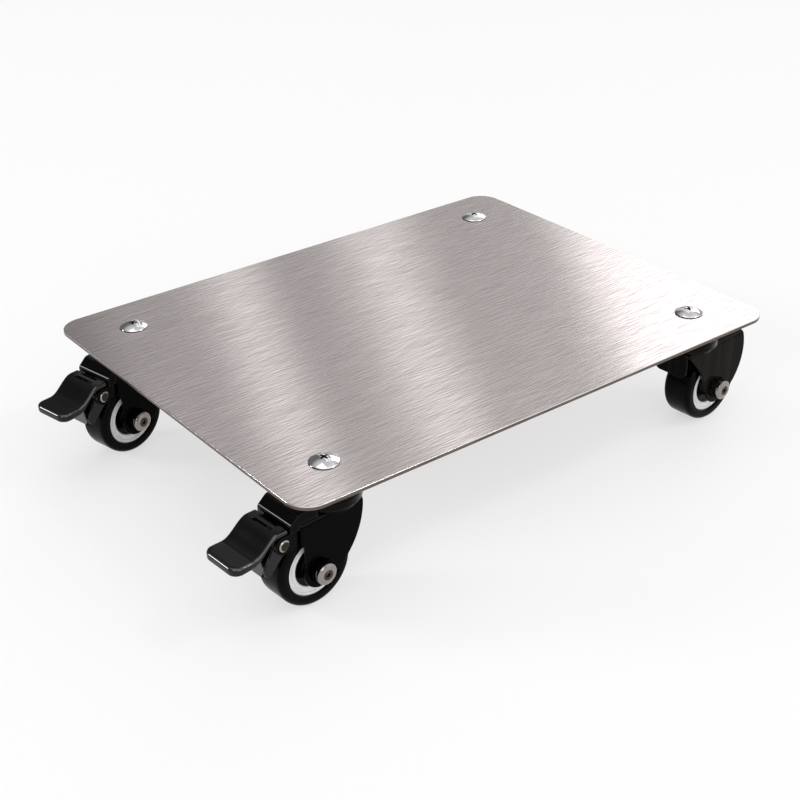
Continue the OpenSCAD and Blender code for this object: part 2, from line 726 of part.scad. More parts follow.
module brake_pedal() {
    cheek_top = pedal_top_z - pedal_t / 2;
    color("#181818") difference() {
        union() {
            intersection() {
                across(pedal_w + 2) pedal_profile();
                translate([0, 0, axle_z]) linear_extrude(-axle_z) pedal_plan();
            }
            for (s = [-1, 1]) translate([0, s * (cheek_out - cheek_t / 2), 0]) {
                across(cheek_t) polygon([
                    [pedal_start, cheek_top],
                    [pedal_slope_start + 4, cheek_top - 1],
                    [brake_pin_x + cheek_r, brake_pin_z],
                    [brake_pin_x - cheek_r * cos(60), brake_pin_z + cheek_r * sin(60)]]);
                translate([brake_pin_x, 0, brake_pin_z]) {
                    rotate([90, 0, 0]) cylinder(h = cheek_t, r = cheek_r, center = true);
                    across(cheek_t) lever_outline();
                }
            }
        }
        translate([brake_pin_x, 0, brake_pin_z]) rotate([90, 0, 0])
            cylinder(h = pedal_w, d = brake_pin_d + 2 * pedal_gap, center = true);
        for (i = [0, 1])
            translate([pedal_start + groove_start + i * groove_pitch, 0, pedal_top_z + 0.5])
                cube([groove_w, groove_len, 2 * groove_depth + 1], center = true);
    }
}

module brake_shoe() {
    nose_bearing = axle_bearing + brake_travel;
    nose_half_w = 2.4;
    strap_root = shoe_r - 1;
    strap_half_w = shoe_half_w - 1;
    color("dimgray") translate([brake_pin_x, 0, brake_pin_z]) rotate([90, 0, 0]) difference() {
        union() {
            cylinder(h = 2 * shoe_half_w, r = shoe_r, center = true);
            intersection() {
                cylinder(h = 2 * shoe_half_w, r = shoe_nose_r, center = true);
                rotate([0, 0, nose_bearing]) translate([0, -nose_half_w, -shoe_half_w])
                    cube([2 * shoe_nose_r, 2 * nose_half_w, 2 * shoe_half_w]);
            }
            rotate([0, 0, -lever_fall]) translate([strap_root, -strap_t / 2, -strap_half_w])
                cube([lever_len + strap_past - strap_root, strap_t, 2 * strap_half_w]);
        }
        cylinder(h = 2 * shoe_half_w + 2, d = brake_pin_d + 2 * pedal_gap, center = true);
    }
}

module brake_spring() {
    spring_half_w = 0.6 * shoe_half_w;
    root_x = 22;
    top = crown_bottom - bracket_t;
    bend_x = brake_pin_x - shoe_r - 3.4;
    end_x = brake_pin_x - shoe_r - spring_gap - spring_t;
    color("silver") across(2 * spring_half_w) polygon([
        [root_x, top],
        [bend_x + spring_t / 2, top],
        [end_x + spring_t, brake_pin_z + 1],
        [end_x + spring_t, brake_pin_z - 1],
        [end_x, brake_pin_z - 1],
        [end_x, brake_pin_z + 1],
        [bend_x, top - spring_t],
        [root_x, top - spring_t]]);
}

deck_plate();
deck_screws();

for (i = [0:3]) {
    name = CASTERS[i];
    at_caster(i) king_rivet();
    at_caster(i) upper_race();
    at_caster(i) swivel_balls();
    at_caster(i) lower_cup();
    at_caster(i) {
        if (i < 2) fork(braked_outline(), false);
        else fork(plain_outline(), true);
    }
    at_caster(i) axle_bolt(head_side[i]);
    at_caster(i) axle_nut(head_side[i]);
    at_caster(i) axle_sleeve();
    at_caster(i) bearing_rings();
    at_caster(i) wheel_core();
    at_caster(i) tyre();
    at_caster(i) hub_covers();
}

for (i = [0:1]) {
    name = BRAKED[i];
    at_caster(i) brake_bracket();
    at_caster(i) brake_pin();
    at_caster(i) brake_pedal();
    at_caster(i) brake_shoe();
    at_caster(i) brake_spring();
}
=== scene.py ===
import json
from math import acos, asin, atan2, ceil, cos, degrees, hypot, pi, radians, sin, sqrt, tan

import bmesh
import bpy
from mathutils import Matrix, Vector
from mathutils.geometry import delaunay_2d_cdt


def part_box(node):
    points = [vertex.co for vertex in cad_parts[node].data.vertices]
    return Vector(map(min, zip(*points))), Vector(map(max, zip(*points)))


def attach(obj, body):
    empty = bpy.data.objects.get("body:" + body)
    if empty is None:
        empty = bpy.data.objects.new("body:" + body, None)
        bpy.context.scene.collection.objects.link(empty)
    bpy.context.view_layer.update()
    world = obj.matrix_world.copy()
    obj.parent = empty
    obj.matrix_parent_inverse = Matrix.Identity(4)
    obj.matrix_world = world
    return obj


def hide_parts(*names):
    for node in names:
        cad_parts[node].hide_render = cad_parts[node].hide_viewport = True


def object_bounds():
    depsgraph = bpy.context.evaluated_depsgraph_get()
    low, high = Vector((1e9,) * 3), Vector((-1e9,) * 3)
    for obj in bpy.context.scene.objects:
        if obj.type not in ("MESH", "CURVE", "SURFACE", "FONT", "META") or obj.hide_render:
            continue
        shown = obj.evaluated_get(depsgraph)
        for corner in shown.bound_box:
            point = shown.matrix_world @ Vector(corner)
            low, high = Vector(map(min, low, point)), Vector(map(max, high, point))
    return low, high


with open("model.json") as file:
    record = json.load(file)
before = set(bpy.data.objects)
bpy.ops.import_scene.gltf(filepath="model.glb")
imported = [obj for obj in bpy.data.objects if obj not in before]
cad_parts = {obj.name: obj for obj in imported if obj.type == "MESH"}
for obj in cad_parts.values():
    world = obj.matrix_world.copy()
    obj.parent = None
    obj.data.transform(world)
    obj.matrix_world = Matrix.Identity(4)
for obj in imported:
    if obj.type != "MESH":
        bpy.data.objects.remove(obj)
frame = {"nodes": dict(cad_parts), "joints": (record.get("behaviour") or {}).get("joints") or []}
cad_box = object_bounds()

# Shapes are drawn in millimetres in a caster's own frame: X trails, Y runs along the axle, Z is up.
# Sizes in capitals are the part's own. The small plain numbers in the profiles round or bevel an edge.
MM = 0.001
CASTERS = ("front", "left", "right", "back")
BRAKED = ("front", "left")
JOINTS = {joint["name"]: joint for joint in frame["joints"]}

# Deck and its screws
DECK_CORNER_R = 15.0
DECK_ARRIS_R = 0.4
SCREW_R = 4.0
SCREW_LEN = 20.0
SCREW_HOLE_R = 4.25
SCREW_HEAD_R = 8.8
SCREW_HEAD_H = 3.2
RECESS_SPAN = 5.6
RECESS_ARM = 1.5
RECESS_DEPTH = 1.8
RECESS_TIP_R = 0.2
RECESS_INNER_R = 0.15
# Scale of the recess's outline just above the head and at its bottom
RECESS_MOUTH = 1.12
RECESS_FLOOR = 0.62
# Degrees that each screw happened to stop at
RECESS_TURNS = {"front": 8.0, "left": 35.0, "right": 52.0, "back": 20.0}
SCREW_BRIM_H = 0.6
SCREW_FOOT_H = 0.4
SCREW_END_BEVEL = 0.7
# A face counts as flat, or as part of the eased top edge, from these heights of its normal
FLAT_NORMAL = 0.999
EASED_NORMAL = 0.1

# Swivel head
POST_BOTTOM = -12.0
RIVET_R = 6.05
RACE_R = 20.2
RACE_BOTTOM = -15.0
RACE_WALL = 1.7
RACE_ROUND_R = 2.0
RACE_STEP = 0.35
RACE_DISH = 0.5
SKIRT_BOTTOM = -19.5
BALL_PITCH_R = 14.5
BALL_Z = -16.3
BALL_GROOVE_R = 2.1
BOSS_TOP = -17.6
BOSS_R = 17.0
CROWN_TOP = -20.5
CROWN_BOTTOM = -22.5
CROWN_R = 18.2

# Fork
FORK_T = 2.0
LEG_OUT = 14.7
FORK_BEND_R = 3.5
TRAIL = 17.3
AXLE_DROP = 34.5
AXLE_Z = CROWN_TOP - AXLE_DROP
LEG_END_R = 10.5
FORK_EDGE_R = 0.45
BRAKE_LEAD = 14.0
BRAKE_TRAIL = 29.2
PLAIN_LEAD = 15.0
PLAIN_TRAIL = 43.0
# How far under the crown's top the long flank starts to curve
BRAKE_FLANK_DROP = 2.0
PLAIN_FLANK_DROP = 12.5
# Where the braked leg's rear flank leaves the round end, as a cosine, and how high it steps back
REAR_FLANK = 0.88
REAR_STEP = 0.42
# Degrees round the axle at which the plain leg's front flank meets the round end
PLAIN_FRONT_TURN = 184
FLAP_H = 18.0
FLAP_HALF_W = 12.7
FLAP_CORNER_R = 5.0
LEG_BOSS_R = 7.5
LEG_BOSS_H = 2.2
LEG_BOSS_SLOPE = 0.5
# Radii about the axle at which a leg's face has points, to follow its boss
LEG_BOSS_RINGS = (5.2, 6.6, 7.0, 7.12, 7.25, 7.38, 7.5, 7.9, 9.0)
LEG_FACE = LEG_OUT + LEG_BOSS_H
# A face is on the crown's bend between these heights of its normal
BEND_NORMALS = (0.4, 0.9)

# Axle
AXLE_R = 4.0
AXLE_HEAD_R = 6.5
AXLE_HEAD_H = 4.3
NUT_ACROSS = 13.0
NUT_H = 4.0
SLEEVE_R = 6.4
# Side of each caster, along its own Y, that shows the axle bolt's head
HEAD_SIDE = {"front": 1, "left": 1, "right": -1, "back": -1}

# Wheel
WHEEL_R = 24.5
WHEEL_HALF_W = 10.5
TYRE_ROUND_R = 3.4
CORE_R = 18.15
CORE_FACE = 8.9
CORE_LIP_W = 1.8
CORE_GROOVE_W = 1.4
CORE_GROOVE_DEPTH = 1.5
SEAT_FACE = 7.6
BEARING_R = 11.0
SHOULDER_R = 9.1
SHOULDER_HALF_W = 1.4
COVER_R = 12.6
COVER_T = 0.9

# Foot brake
PIN_X = 38.8
PIN_Z = -30.0
PIN_R = 2.5
PIN_HEAD_R = 3.5
PIN_HEAD_H = 1.5
BRACKET_OUT = 12.7
BRACKET_T = 1.5
BRACKET_BEND_R = 2.0
BRACKET_EDGE_R = 0.35
WEB_START = 20.0
WALL_X = 29.6
EAR_R = 5.6
HOOD_TOP = -17.1
HOOD_R = 3.0
HOOD_REACH = 35.6
HOOD_END = -23.5
HOOD_LIFT = 0.3
HOOD_EDGE_R = 0.6
ROOF_Z = -13.6
ROOF_START = 17.0
ROOF_SLOPE = 40.0
ROOF_GAP = 0.8
ROOF_BEND_R = 3.0
PEDAL_START = 36.8
PEDAL_REACH = 72.5
PEDAL_HALF_W = 14.4
PEDAL_T = 3.0
PEDAL_TIP_T = 5.0
PEDAL_TOP = -19.9
PEDAL_FALL = 9.6
SLOPE_START = 43.0
SLOPE_LEN = 17.0
PEDAL_CORNER_R = 6.0
PEDAL_EDGE_R = 1.45
# A face takes the glossy rim from this height of its normal
RIM_NORMAL = 0.35
GROOVE_XS = (38.9, 43.3)
GROOVE_HALF_LEN = 7.5
GROOVE_HALF_W = 1.2
GROOVE_DEPTH = 1.4
GROOVE_SLOPE = 0.35
CHEEK_OUT = 10.9
CHEEK_T = 1.7
CHEEK_R = 5.0
CHEEK_EDGE_R = 0.3
LEVER_LEN = 16.2
LEVER_END_R = 3.0
LEVER_FALL = 53.0

# Camera, at the photograph's angle and distance
CAMERA_TARGET = Vector((-0.0698, -0.0787, 0.0))
CAMERA_DISTANCE = 0.8217
CAMERA_AZIMUTH = radians(-36.975)
CAMERA_ELEVATION = radians(29.203)
CAMERA_ROLL = radians(-1.336)
CAMERA_FOCAL_PX = 1430.6
PHOTO_PX = 800
SENSOR_MM = 36.0
CAMERA_FAR = 50.0


def new_object(name, data):
    made = bpy.data.objects.new(name, data)
    bpy.context.scene.collection.objects.link(made)
    return made


def mesh_data(name, mesh):
    """The data of a drawn mesh, which is used up."""
    data = bpy.data.meshes.new(name)
    mesh.to_mesh(data)
    mesh.free()
    return data


def add_camera():
    out = Vector((
        sin(CAMERA_AZIMUTH) * cos(CAMERA_ELEVATION),
        -cos(CAMERA_AZIMUTH) * cos(CAMERA_ELEVATION),
        sin(CAMERA_ELEVATION)))
    level = Vector((cos(CAMERA_AZIMUTH), sin(CAMERA_AZIMUTH), 0.0))
    upright = out.cross(level)
    right = cos(CAMERA_ROLL) * level + sin(CAMERA_ROLL) * upright
    up = out.cross(right)
    data = bpy.data.cameras.new("camera")
    data.sensor_width = SENSOR_MM
    data.lens = CAMERA_FOCAL_PX / PHOTO_PX * SENSOR_MM
    data.clip_end = CAMERA_FAR
    camera = new_object("camera", data)
    turn = Matrix((right, up, out)).transposed().to_4x4()
    camera.matrix_world = Matrix.Translation(CAMERA_TARGET + out * CAMERA_DISTANCE) @ turn
    bpy.context.scene.camera = camera


# Outlines, as lists of 2D points
def arc(cx, cy, r, start, end, steps=24):
    angles = [radians(start + (end - start) * i / steps) for i in range(steps + 1)]
    return [Vector((cx + r * cos(a), cy + r * sin(a))) for a in angles]


def circle(cx, cy, r, steps=48):
    return arc(cx, cy, r, 0, 360, steps)[:-1]


def curve(p, pull, q, steps=24):
    """A curve from p to q that bends towards pull."""
    p, pull, q = Vector(p), Vector(pull), Vector(q)
    return [(1 - t) ** 2 * p + 2 * t * (1 - t) * pull + t * t * q
            for t in (i / steps for i in range(steps + 1))]


def rounded(corners, steps=6):
    """A closed outline through corners (x, y, r), each rounded to its own radius r."""
    points = []
    count = len(corners)
    for i, (x, y, r) in enumerate(corners):
        here = Vector((x, y))
        before = Vector(corners[i - 1][:2]) - here
        after = Vector(corners[(i + 1) % count][:2]) - here
        if r <= 0:
            points.append(here)
            continue
        half = before.angle(after) / 2
        cut = min(r / tan(half), 0.49 * before.length, 0.49 * after.length)
        r = cut * tan(half)
        middle = here + (before.normalized() + after.normalized()).normalized() * r / sin(half)
        first = here + before.normalized() * cut - middle
        last = here + after.normalized() * cut - middle
        sweep = first.angle_signed(last)
        for k in range(steps + 1):
            a = -sweep * k / steps
            turned = Vector((first.x * cos(a) - first.y * sin(a),
                             first.x * sin(a) + first.y * cos(a)))
            points.append(middle + turned)
    return points


def subdivided(outline, longest):
    """The closed outline with no side longer than longest."""
    points = []
    for i, p in enumerate(outline):
        q = outline[(i + 1) % len(outline)]
        parts = max(1, ceil((q - p).length / longest))
        points += [p.lerp(q, k / parts) for k in range(parts)]
    return points


def without_repeats(outline, least=0.02):
    return [p for i, p in enumerate(outline) if (p - outline[i - 1]).length > least]


def signed_area(outline):
    return sum(outline[i - 1].cross(p) for i, p in enumerate(outline)) / 2


def inset(outline, distance):
    """The outline moved to its left by distance, which is inwards when it runs counterclockwise."""
    moved = []
    count = len(outline)
    for i, p in enumerate(outline):
        a = (p - outline[i - 1]).normalized()
        b = (outline[(i + 1) % count] - p).normalized()
        side = Vector((-a.y - b.y, a.x + b.x)).normalized()
        square = max(0.5, side.dot(Vector((-a.y, a.x))))
        moved.append(p + side * distance / square)
    return moved


def inside(p, outline):
    """Whether the point p lies inside the closed outline."""
    hit = False
    for i, a in enumerate(outline):
        b = outline[i - 1]
        if (a.y > p.y) != (b.y > p.y) and p.x < (b.x - a.x) * (p.y - a.y) / (b.y - a.y) + a.x:
            hit = not hit
    return hit


def grid_points(xs, ys):
    return [Vector((x, y)) for x in xs for y in ys]


def spread(low, high, steps):
    return [low + (high - low) * k / steps for k in range(steps + 1)]


def ease(t):
    """Smooth step from 0 to 1."""
    t = min(1.0, max(0.0, t))
    return t * t * (3 - 2 * t)


# Meshes
# Degrees between two faces from which their edge shows as sharp
SHARP_ANGLE = 35.0


def lathe(mesh, profile, place=None, steps=96, closed=True):
    """Turns a profile of (radius, height) about Z, and carries it by place.

    The profile is a list, or a function that gives the list at an angle.
    """
    place = place or Matrix.Identity(4)
    rings = []
    for k in range(steps):
        a = 2 * pi * k / steps
        points = profile(a) if callable(profile) else profile
        rings.append([mesh.verts.new(place @ Vector((r * cos(a), r * sin(a), z)))
                      for r, z in points])
    count = len(rings[0])
    spans = count if closed else count - 1
    for k in range(steps):
        here, there = rings[k], rings[(k + 1) % steps]
        for i in range(spans):
            j = (i + 1) % count
            mesh.faces.new((here[i], here[j], there[j], there[i]))


def rounded_sheet(mesh, outlines, surface, edge_r, grid=(), arc_steps=4):
    """A sheet whose edges are rounded to edge_r and take the second material.

    outlines holds the outer outline and any holes, in the flat. surface(u, v) gives a point of the
    flat sheet on the top and on the bottom face, and grid holds the inner points that the faces
    need to follow a bend or a boss.
    """
    loops = []
    for number, outline in enumerate(outlines):
        outline = without_repeats([Vector(p) for p in outline])
        if (signed_area(outline) > 0) != (number == 0):
            outline.reverse()
        loops.append(outline)
    caps = [inset(loop, edge_r) for loop in loops]
    tops = []
    bottoms = []
    for loop in loops:
        rings = []
        for half in (0, 1):
            order = range(arc_steps + 1) if half == 0 else range(arc_steps, -1, -1)
            for k in order:
                a = pi / 2 * k / arc_steps
                ring = []
                for p in inset(loop, edge_r * (1 - sin(a))):
                    top, bottom = surface(p.x, p.y)
                    depth = (bottom - top).normalized() * edge_r * (1 - cos(a))
                    ring.append(mesh.verts.new(top + depth if half == 0 else bottom - depth))
                rings.append(ring)
        count = len(loop)
        for above, below in zip(rings, rings[1:]):
            for i in range(count):
                j = (i + 1) % count
                rim = mesh.faces.new((above[i], above[j], below[j], below[i]))
                rim.material_index = 1
        tops += rings[0]
        bottoms += rings[-1]
    flat = [p for cap in caps for p in cap]
    edges = []
    start = 0
    for cap in caps:
        edges += [(start + i, start + (i + 1) % len(cap)) for i in range(len(cap))]
        start += len(cap)
    roomy = [inset(loop, 1.25 * edge_r) for loop in loops]
    inner = [p for p in grid if inside(p, roomy[0]) and not any(inside(p, hole) for hole in roomy[1:])]
    points, _, faces, sources, _, _ = delaunay_2d_cdt(flat + inner, edges, [], 1, 1e-5)
    top_of = []
    bottom_of = []
    for p, source in zip(points, sources):
        known = [k for k in source if k < len(flat)]
        if known:
            top_of.append(tops[known[0]])
            bottom_of.append(bottoms[known[0]])
        else:
            top, bottom = surface(p.x, p.y)
            top_of.append(mesh.verts.new(top))
            bottom_of.append(mesh.verts.new(bottom))
    for face in faces:
        middle = sum((points[k] for k in face), Vector((0, 0))) / len(face)
        if any(inside(middle, hole) for hole in caps[1:]):
            continue
        mesh.faces.new([top_of[k] for k in face])
        mesh.faces.new([bottom_of[k] for k in reversed(face)])


def between(axis, first, last):
    """The surface of a flat sheet that lies across an axis (0 to 2), from first to last along it."""
    def surface(u, v):
        return [Vector((u, v)[:axis] + (level,) + (u, v)[axis:]) for level in (first, last)]

    return surface


def make_piece(name, mesh, place, materials, body, nodes=(), slot=None, sharp=SHARP_ANGLE):
    """Turns a drawn mesh into a piece that rides on body and stands for nodes."""
    bmesh.ops.remove_doubles(mesh, verts=mesh.verts, dist=1e-3)
    bmesh.ops.dissolve_degenerate(mesh, dist=1e-4, edges=mesh.edges)
    bmesh.ops.recalc_face_normals(mesh, faces=mesh.faces)
    bmesh.ops.transform(mesh, matrix=place, verts=mesh.verts)
    data = mesh_data(name, mesh)
    data.shade_smooth()
    data.set_sharp_from_angle(angle=radians(sharp))
    for material in materials:
        data.materials.append(material)
    piece = new_object(name, data)
    normals = piece.modifiers.new("normals", "WEIGHTED_NORMAL")
    normals.keep_sharp = True
    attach(piece, body)
    if nodes:
        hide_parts(*nodes)
    return piece


def caster_place(name):
    """From a caster's millimetres to the object's metres."""
    centre = Vector(JOINTS[name + "_swivel"]["pos_m"])
    axle = Vector(JOINTS[name + "_spin"]["axis"])
    behind = axle.cross(Vector((0, 0, 1)))
    turn = Matrix((behind, axle, (0, 0, 1))).transposed().to_4x4()
    return Matrix.Translation((centre.x, centre.y, 0)) @ turn @ Matrix.Scale(MM, 4)


def make_caster_piece(name, ending, mesh, materials, node, slot, body="_fork_body", sharp=SHARP_ANGLE):
    """A piece of a caster, drawn in its own frame. It stands for one of its nodes, or for none."""
    nodes = [name + node] if node else []
    return make_piece(name + ending, mesh, caster_place(name), materials, name + body, nodes, slot, sharp)


def along_y(x, z, side=1):
    """From a shape drawn about Z to one about a cross pin at x, z, with Z pointing to that side."""
    turn = Matrix.Rotation(radians(-90 * side), 4, "X")
    return Matrix.Translation((x, 0, z)) @ turn


def axle_place(side=1):
    return along_y(TRAIL, AXLE_Z, side)


# Materials
class Nodes:
    """Short names for adding and linking the nodes of one material or world."""

    def __init__(self, owner, output="ShaderNodeOutputMaterial"):
        owner.use_nodes = True
        self.owner = owner
        self.tree = owner.node_tree
        self.tree.nodes.clear()
        self.output = self.add(output)

    def add(self, kind, inputs=None, **settings):
        """One node. inputs are the values of its sockets, settings those of the node itself."""
        made = self.tree.nodes.new(kind)
        for key, value in settings.items():
            setattr(made, key, value)
        for socket, value in (inputs or {}).items():
            made.inputs[socket].default_value = value
        return made

    def link(self, source, target):
        self.tree.links.new(source, target)

    def principled(self, color, metallic, roughness, more=None):
        shader = self.add("ShaderNodeBsdfPrincipled", {
            "Base Color": (*color, 1.0), "Metallic": metallic, "Roughness": roughness, **(more or {})})
        self.link(shader.outputs["BSDF"], self.output.inputs["Surface"])
        return shader

    def noise(self, scale, detail=2.0, stretch=(1, 1, 1), shift=(0.0, 0.0, 0.0)):
        """A noise of scale cells per metre, times stretch along X, Y and Z, moved by shift cells."""
        place = self.add("ShaderNodeTexCoord")
        mapping = self.add("ShaderNodeMapping", {"Scale": stretch, "Location": shift})
        texture = self.add("ShaderNodeTexNoise", {"Scale": scale, "Detail": detail})
        self.link(place.outputs["Object"], mapping.inputs["Vector"])
        self.link(mapping.outputs["Vector"], texture.inputs["Vector"])
        return texture.outputs["Fac"]

    def math(self, operation, *values):
        """One math node. A value is a number or another node's output."""
        made = self.add("ShaderNodeMath", operation=operation)
        for socket, value in zip(made.inputs, values):
            if isinstance(value, float):
                socket.default_value = value
            else:
                self.link(value, socket)
        return made.outputs[0]

    def ranged(self, value, low, high, from_low=0.3, from_high=0.7):
        """A value between from_low and from_high, carried over to low and high."""
        change = self.add("ShaderNodeMapRange", {
            "From Min": from_low, "From Max": from_high, "To Min": low, "To Max": high})
        self.link(value, change.inputs["Value"])
        return change.outputs["Result"]

    def tint(self, shader, value, dark, light):
        """Colours the shader between dark and light, by value."""
        mix = self.add("ShaderNodeMix", data_type="RGBA")
        colors = [socket for socket in mix.inputs if socket.type == "RGBA"]
        colors[0].default_value = (*dark, 1.0)
        colors[1].default_value = (*light, 1.0)
        self.link(value, mix.inputs["Factor"])
        mixed = [socket for socket in mix.outputs if socket.type == "RGBA"][0]
        self.link(mixed, shader.inputs["Base Color"])

    def roughen(self, shader, value, *limits):
        """Roughness by value, between the first two limits. The others are as in ranged."""
        self.link(self.ranged(value, *limits), shader.inputs["Roughness"])

    def bump(self, shader, height, strength, distance):
        made = self.add("ShaderNodeBump", {"Strength": strength, "Distance": distance})
        self.link(height, made.inputs["Height"])
        self.link(made.outputs["Normal"], shader.inputs["Normal"])


def material_nodes(name):
    return Nodes(bpy.data.materials.new(name))


# The deck's grain: noise cells per metre along X, Y and Z, and what each noise counts for
SCRATCH_CELLS = (100, 1500, 100)
SCRATCH_SHIFT = 1.5
SCRATCH_SHARE = 0.45
STREAK_CELLS = (36, 700, 36)
STREAK_SHARE = 0.36


def brushed_top():
    """Brushed steel: fine scratches along X over broader streaks.

    The scratches are a noise less the same noise a little further, which keeps them narrow.
    """
    made = material_nodes("brushed_steel_top")
    shader = made.principled((0.62, 0.585, 0.575), 1.0, 0.25,
                             {"Anisotropic": 1.0, "Anisotropic Rotation": 0.25})
    scratch = made.noise(1.0, 0.0, SCRATCH_CELLS)
    next_scratch = made.noise(1.0, 0.0, SCRATCH_CELLS, (0.0, SCRATCH_SHIFT, 0.0))
    streak = made.noise(1.0, 0.0, STREAK_CELLS)
    sharp = made.math("SUBTRACT", scratch, next_scratch)
    broad = made.math("MULTIPLY_ADD", streak, STREAK_SHARE, (1 - STREAK_SHARE) / 2)
    grain = made.math("MULTIPLY_ADD", sharp, SCRATCH_SHARE, broad)
    shade = made.ranged(grain, 0.0, 1.0, 0.34, 0.66)
    made.tint(shader, shade, (0.50, 0.453, 0.445), (0.81, 0.745, 0.735))
    made.roughen(shader, grain, 0.27, 0.23, 0.36, 0.64)
    made.bump(shader, grain, 0.1, 0.00002)
    tangent = made.add("ShaderNodeTangent", direction_type="UV_MAP", uv_map="grain")
    made.link(tangent.outputs["Tangent"], shader.inputs["Tangent"])
    return made.owner


def cut_edge(name, dark, light, low, high):
    """Sheared steel, with fine lines that run round the edge."""
    made = material_nodes(name)
    shader = made.principled(light, 1.0, low)
    wear = made.noise(1.0, 3.0, (90, 90, 2600))
    made.tint(shader, made.ranged(wear, 0.0, 1.0), dark, light)
    made.roughen(shader, wear, low, high)
    made.bump(shader, wear, 0.15, 0.00003)
    return made.owner


def bright_metal(name, color, low, high):
    """Turned or plated metal, with a grain too fine to see singly."""
    made = material_nodes(name)
    shader = made.principled(color, 1.0, low)
    grain = made.noise(900.0, 4.0)
    made.tint(shader, made.ranged(grain, 0.0, 1.0), tuple(0.93 * c for c in color), color)
    made.roughen(shader, grain, low, high)
    made.bump(shader, grain, 0.2, 0.00001)
    return made.owner


def black_coat(name, color, low, high, specular, grain_scale, bump):
    """Black paint or moulded plastic: a soft gloss that varies a little, over a fine grain."""
    made = material_nodes(name)
    shader = made.principled(color, 0.0, low, {"Specular IOR Level": specular})
    cloud = made.noise(70.0, 2.0)
    grain = made.noise(grain_scale, 3.0)
    made.tint(shader, made.ranged(cloud, 0.0, 1.0), tuple(0.8 * c for c in color), color)
    made.roughen(shader, cloud, low, high)
    made.bump(shader, grain, 0.2, bump)
    return made.owner


def painted_reflection_coat(name, dark, light, specular):
    """Black paint with faint warm streaks of painted reflection that run down the sheet."""
    made = material_nodes(name)
    shader = made.principled(dark, 0.0, 0.08, {"Specular IOR Level": specular})
    # Painted reflection: lighter warm streaks down the sheet where the stretched noise is high
    streak = made.noise(1.0, 2.0, (170, 170, 9))
    made.tint(shader, made.ranged(streak, 0.0, 1.0, 0.42, 0.68), dark, light)
    made.roughen(shader, streak, 0.07, 0.12)
    return made.owner


def white_nylon():
    made = material_nodes("white_nylon")
    shader = made.principled((0.80, 0.80, 0.81), 0.0, 0.34)
    cloud = made.noise(180.0, 3.0)
    made.tint(shader, made.ranged(cloud, 0.0, 1.0), (0.75, 0.75, 0.76), (0.82, 0.82, 0.83))
    made.roughen(shader, cloud, 0.3, 0.42)
    made.bump(shader, cloud, 0.1, 0.00005)
    return made.owner


# Metals: colour, and the least and the greatest roughness
METALS = {
    "bright_chrome": ((0.82, 0.82, 0.83), 0.05, 0.09),
    "race_blacked": ((0.009, 0.0085, 0.008), 0.12, 0.2),
    "axle_zinc": ((0.30, 0.275, 0.262), 0.06, 0.12),
    "axle_head_shadow": ((0.07, 0.06, 0.052), 0.12, 0.22),
    "plain_steel": ((0.5, 0.48, 0.46), 0.25, 0.4),
    "pin_zinc": ((0.34, 0.31, 0.28), 0.06, 0.12),
    "pin_head_shadow": ((0.035, 0.03, 0.024), 0.1, 0.2),
    "spring_steel": ((0.3, 0.29, 0.28), 0.25, 0.4),
}

# Blacks: colour, least and greatest roughness, specular level, grain per metre and its depth in metres
BLACKS = {
    "screw_shadow": ((0.012, 0.012, 0.012), 0.35, 0.5, 0.15, 900.0, 0.00001),
    "fork_black_gloss": ((0.001, 0.0008, 0.0006), 0.06, 0.1, 0.03, 700.0, 0.00001),
    "bracket_black_gloss": ((0.001, 0.001, 0.0009), 0.07, 0.12, 0.05, 700.0, 0.00001),
    "pedal_black_satin": ((0.003, 0.003, 0.003), 0.1, 0.16, 0.28, 2400.0, 0.00002),
    # A lighter, glossier copy of the black paint for bends and rims: painted sheen
    "painted_sheen_black": ((0.0025, 0.0025, 0.0025), 0.05, 0.09, 0.12, 900.0, 0.00001),
    "pedal_rim_gloss": ((0.003, 0.003, 0.003), 0.05, 0.1, 1.0, 1600.0, 0.00001),
    "tyre_black": ((0.0014, 0.0014, 0.0014), 0.16, 0.24, 0.05, 1600.0, 0.00002),
    "cover_black": ((0.0018, 0.0018, 0.0018), 0.14, 0.22, 0.1, 1200.0, 0.00002),
}


# Floor and light
FLOOR_HALF_SIZE = 8.0
# Share of plain white in the floor as the camera and the metal see it, and how white it is
FLOOR_WHITE = 0.6
FLOOR_GLOW = 0.97


def add_floor():
    mesh = bmesh.new()
    bmesh.ops.create_grid(mesh, x_segments=1, y_segments=1, size=FLOOR_HALF_SIZE)
    data = mesh_data("floor", mesh)
    made = material_nodes("pale_floor")
    shader = made.principled((0.95, 0.95, 0.95), 0.0, 0.6, {"Specular IOR Level": 0.1})
    made.tint(shader, made.noise(3.0, 2.0), (0.945, 0.945, 0.945), (0.955, 0.955, 0.955))
    ray = made.add("ShaderNodeLightPath").outputs
    seen = made.math("ADD", ray["Is Camera Ray"], ray["Is Glossy Ray"])
    seen = made.math("ADD", seen, ray["Is Transmission Ray"])
    white = made.add("ShaderNodeEmission", {"Color": (1.0, 1.0, 1.0, 1.0), "Strength": FLOOR_GLOW})
    blend = made.add("ShaderNodeMixShader")
    made.link(made.math("MULTIPLY", seen, FLOOR_WHITE), blend.inputs[0])
    made.link(shader.outputs["BSDF"], blend.inputs[1])
    made.link(white.outputs["Emission"], blend.inputs[2])
    made.link(blend.outputs["Shader"], made.output.inputs["Surface"])
    data.materials.append(made.owner)
    floor = new_object("floor", data)
    floor.location.z = cad_box[0][2]


# A pale room: dim behind the deck, brighter to the right, overhead and behind the camera.
# Each part grows along its axis from the first value to the second, up to the third.
WORLD_BASE = 0.15
WORLD_PARTS = {
    "X": (0.36, 0.62, 0.26),
    "Y": (0.1, -0.5, 0.72),
    "Z": (0.56, 0.95, 0.52),
}


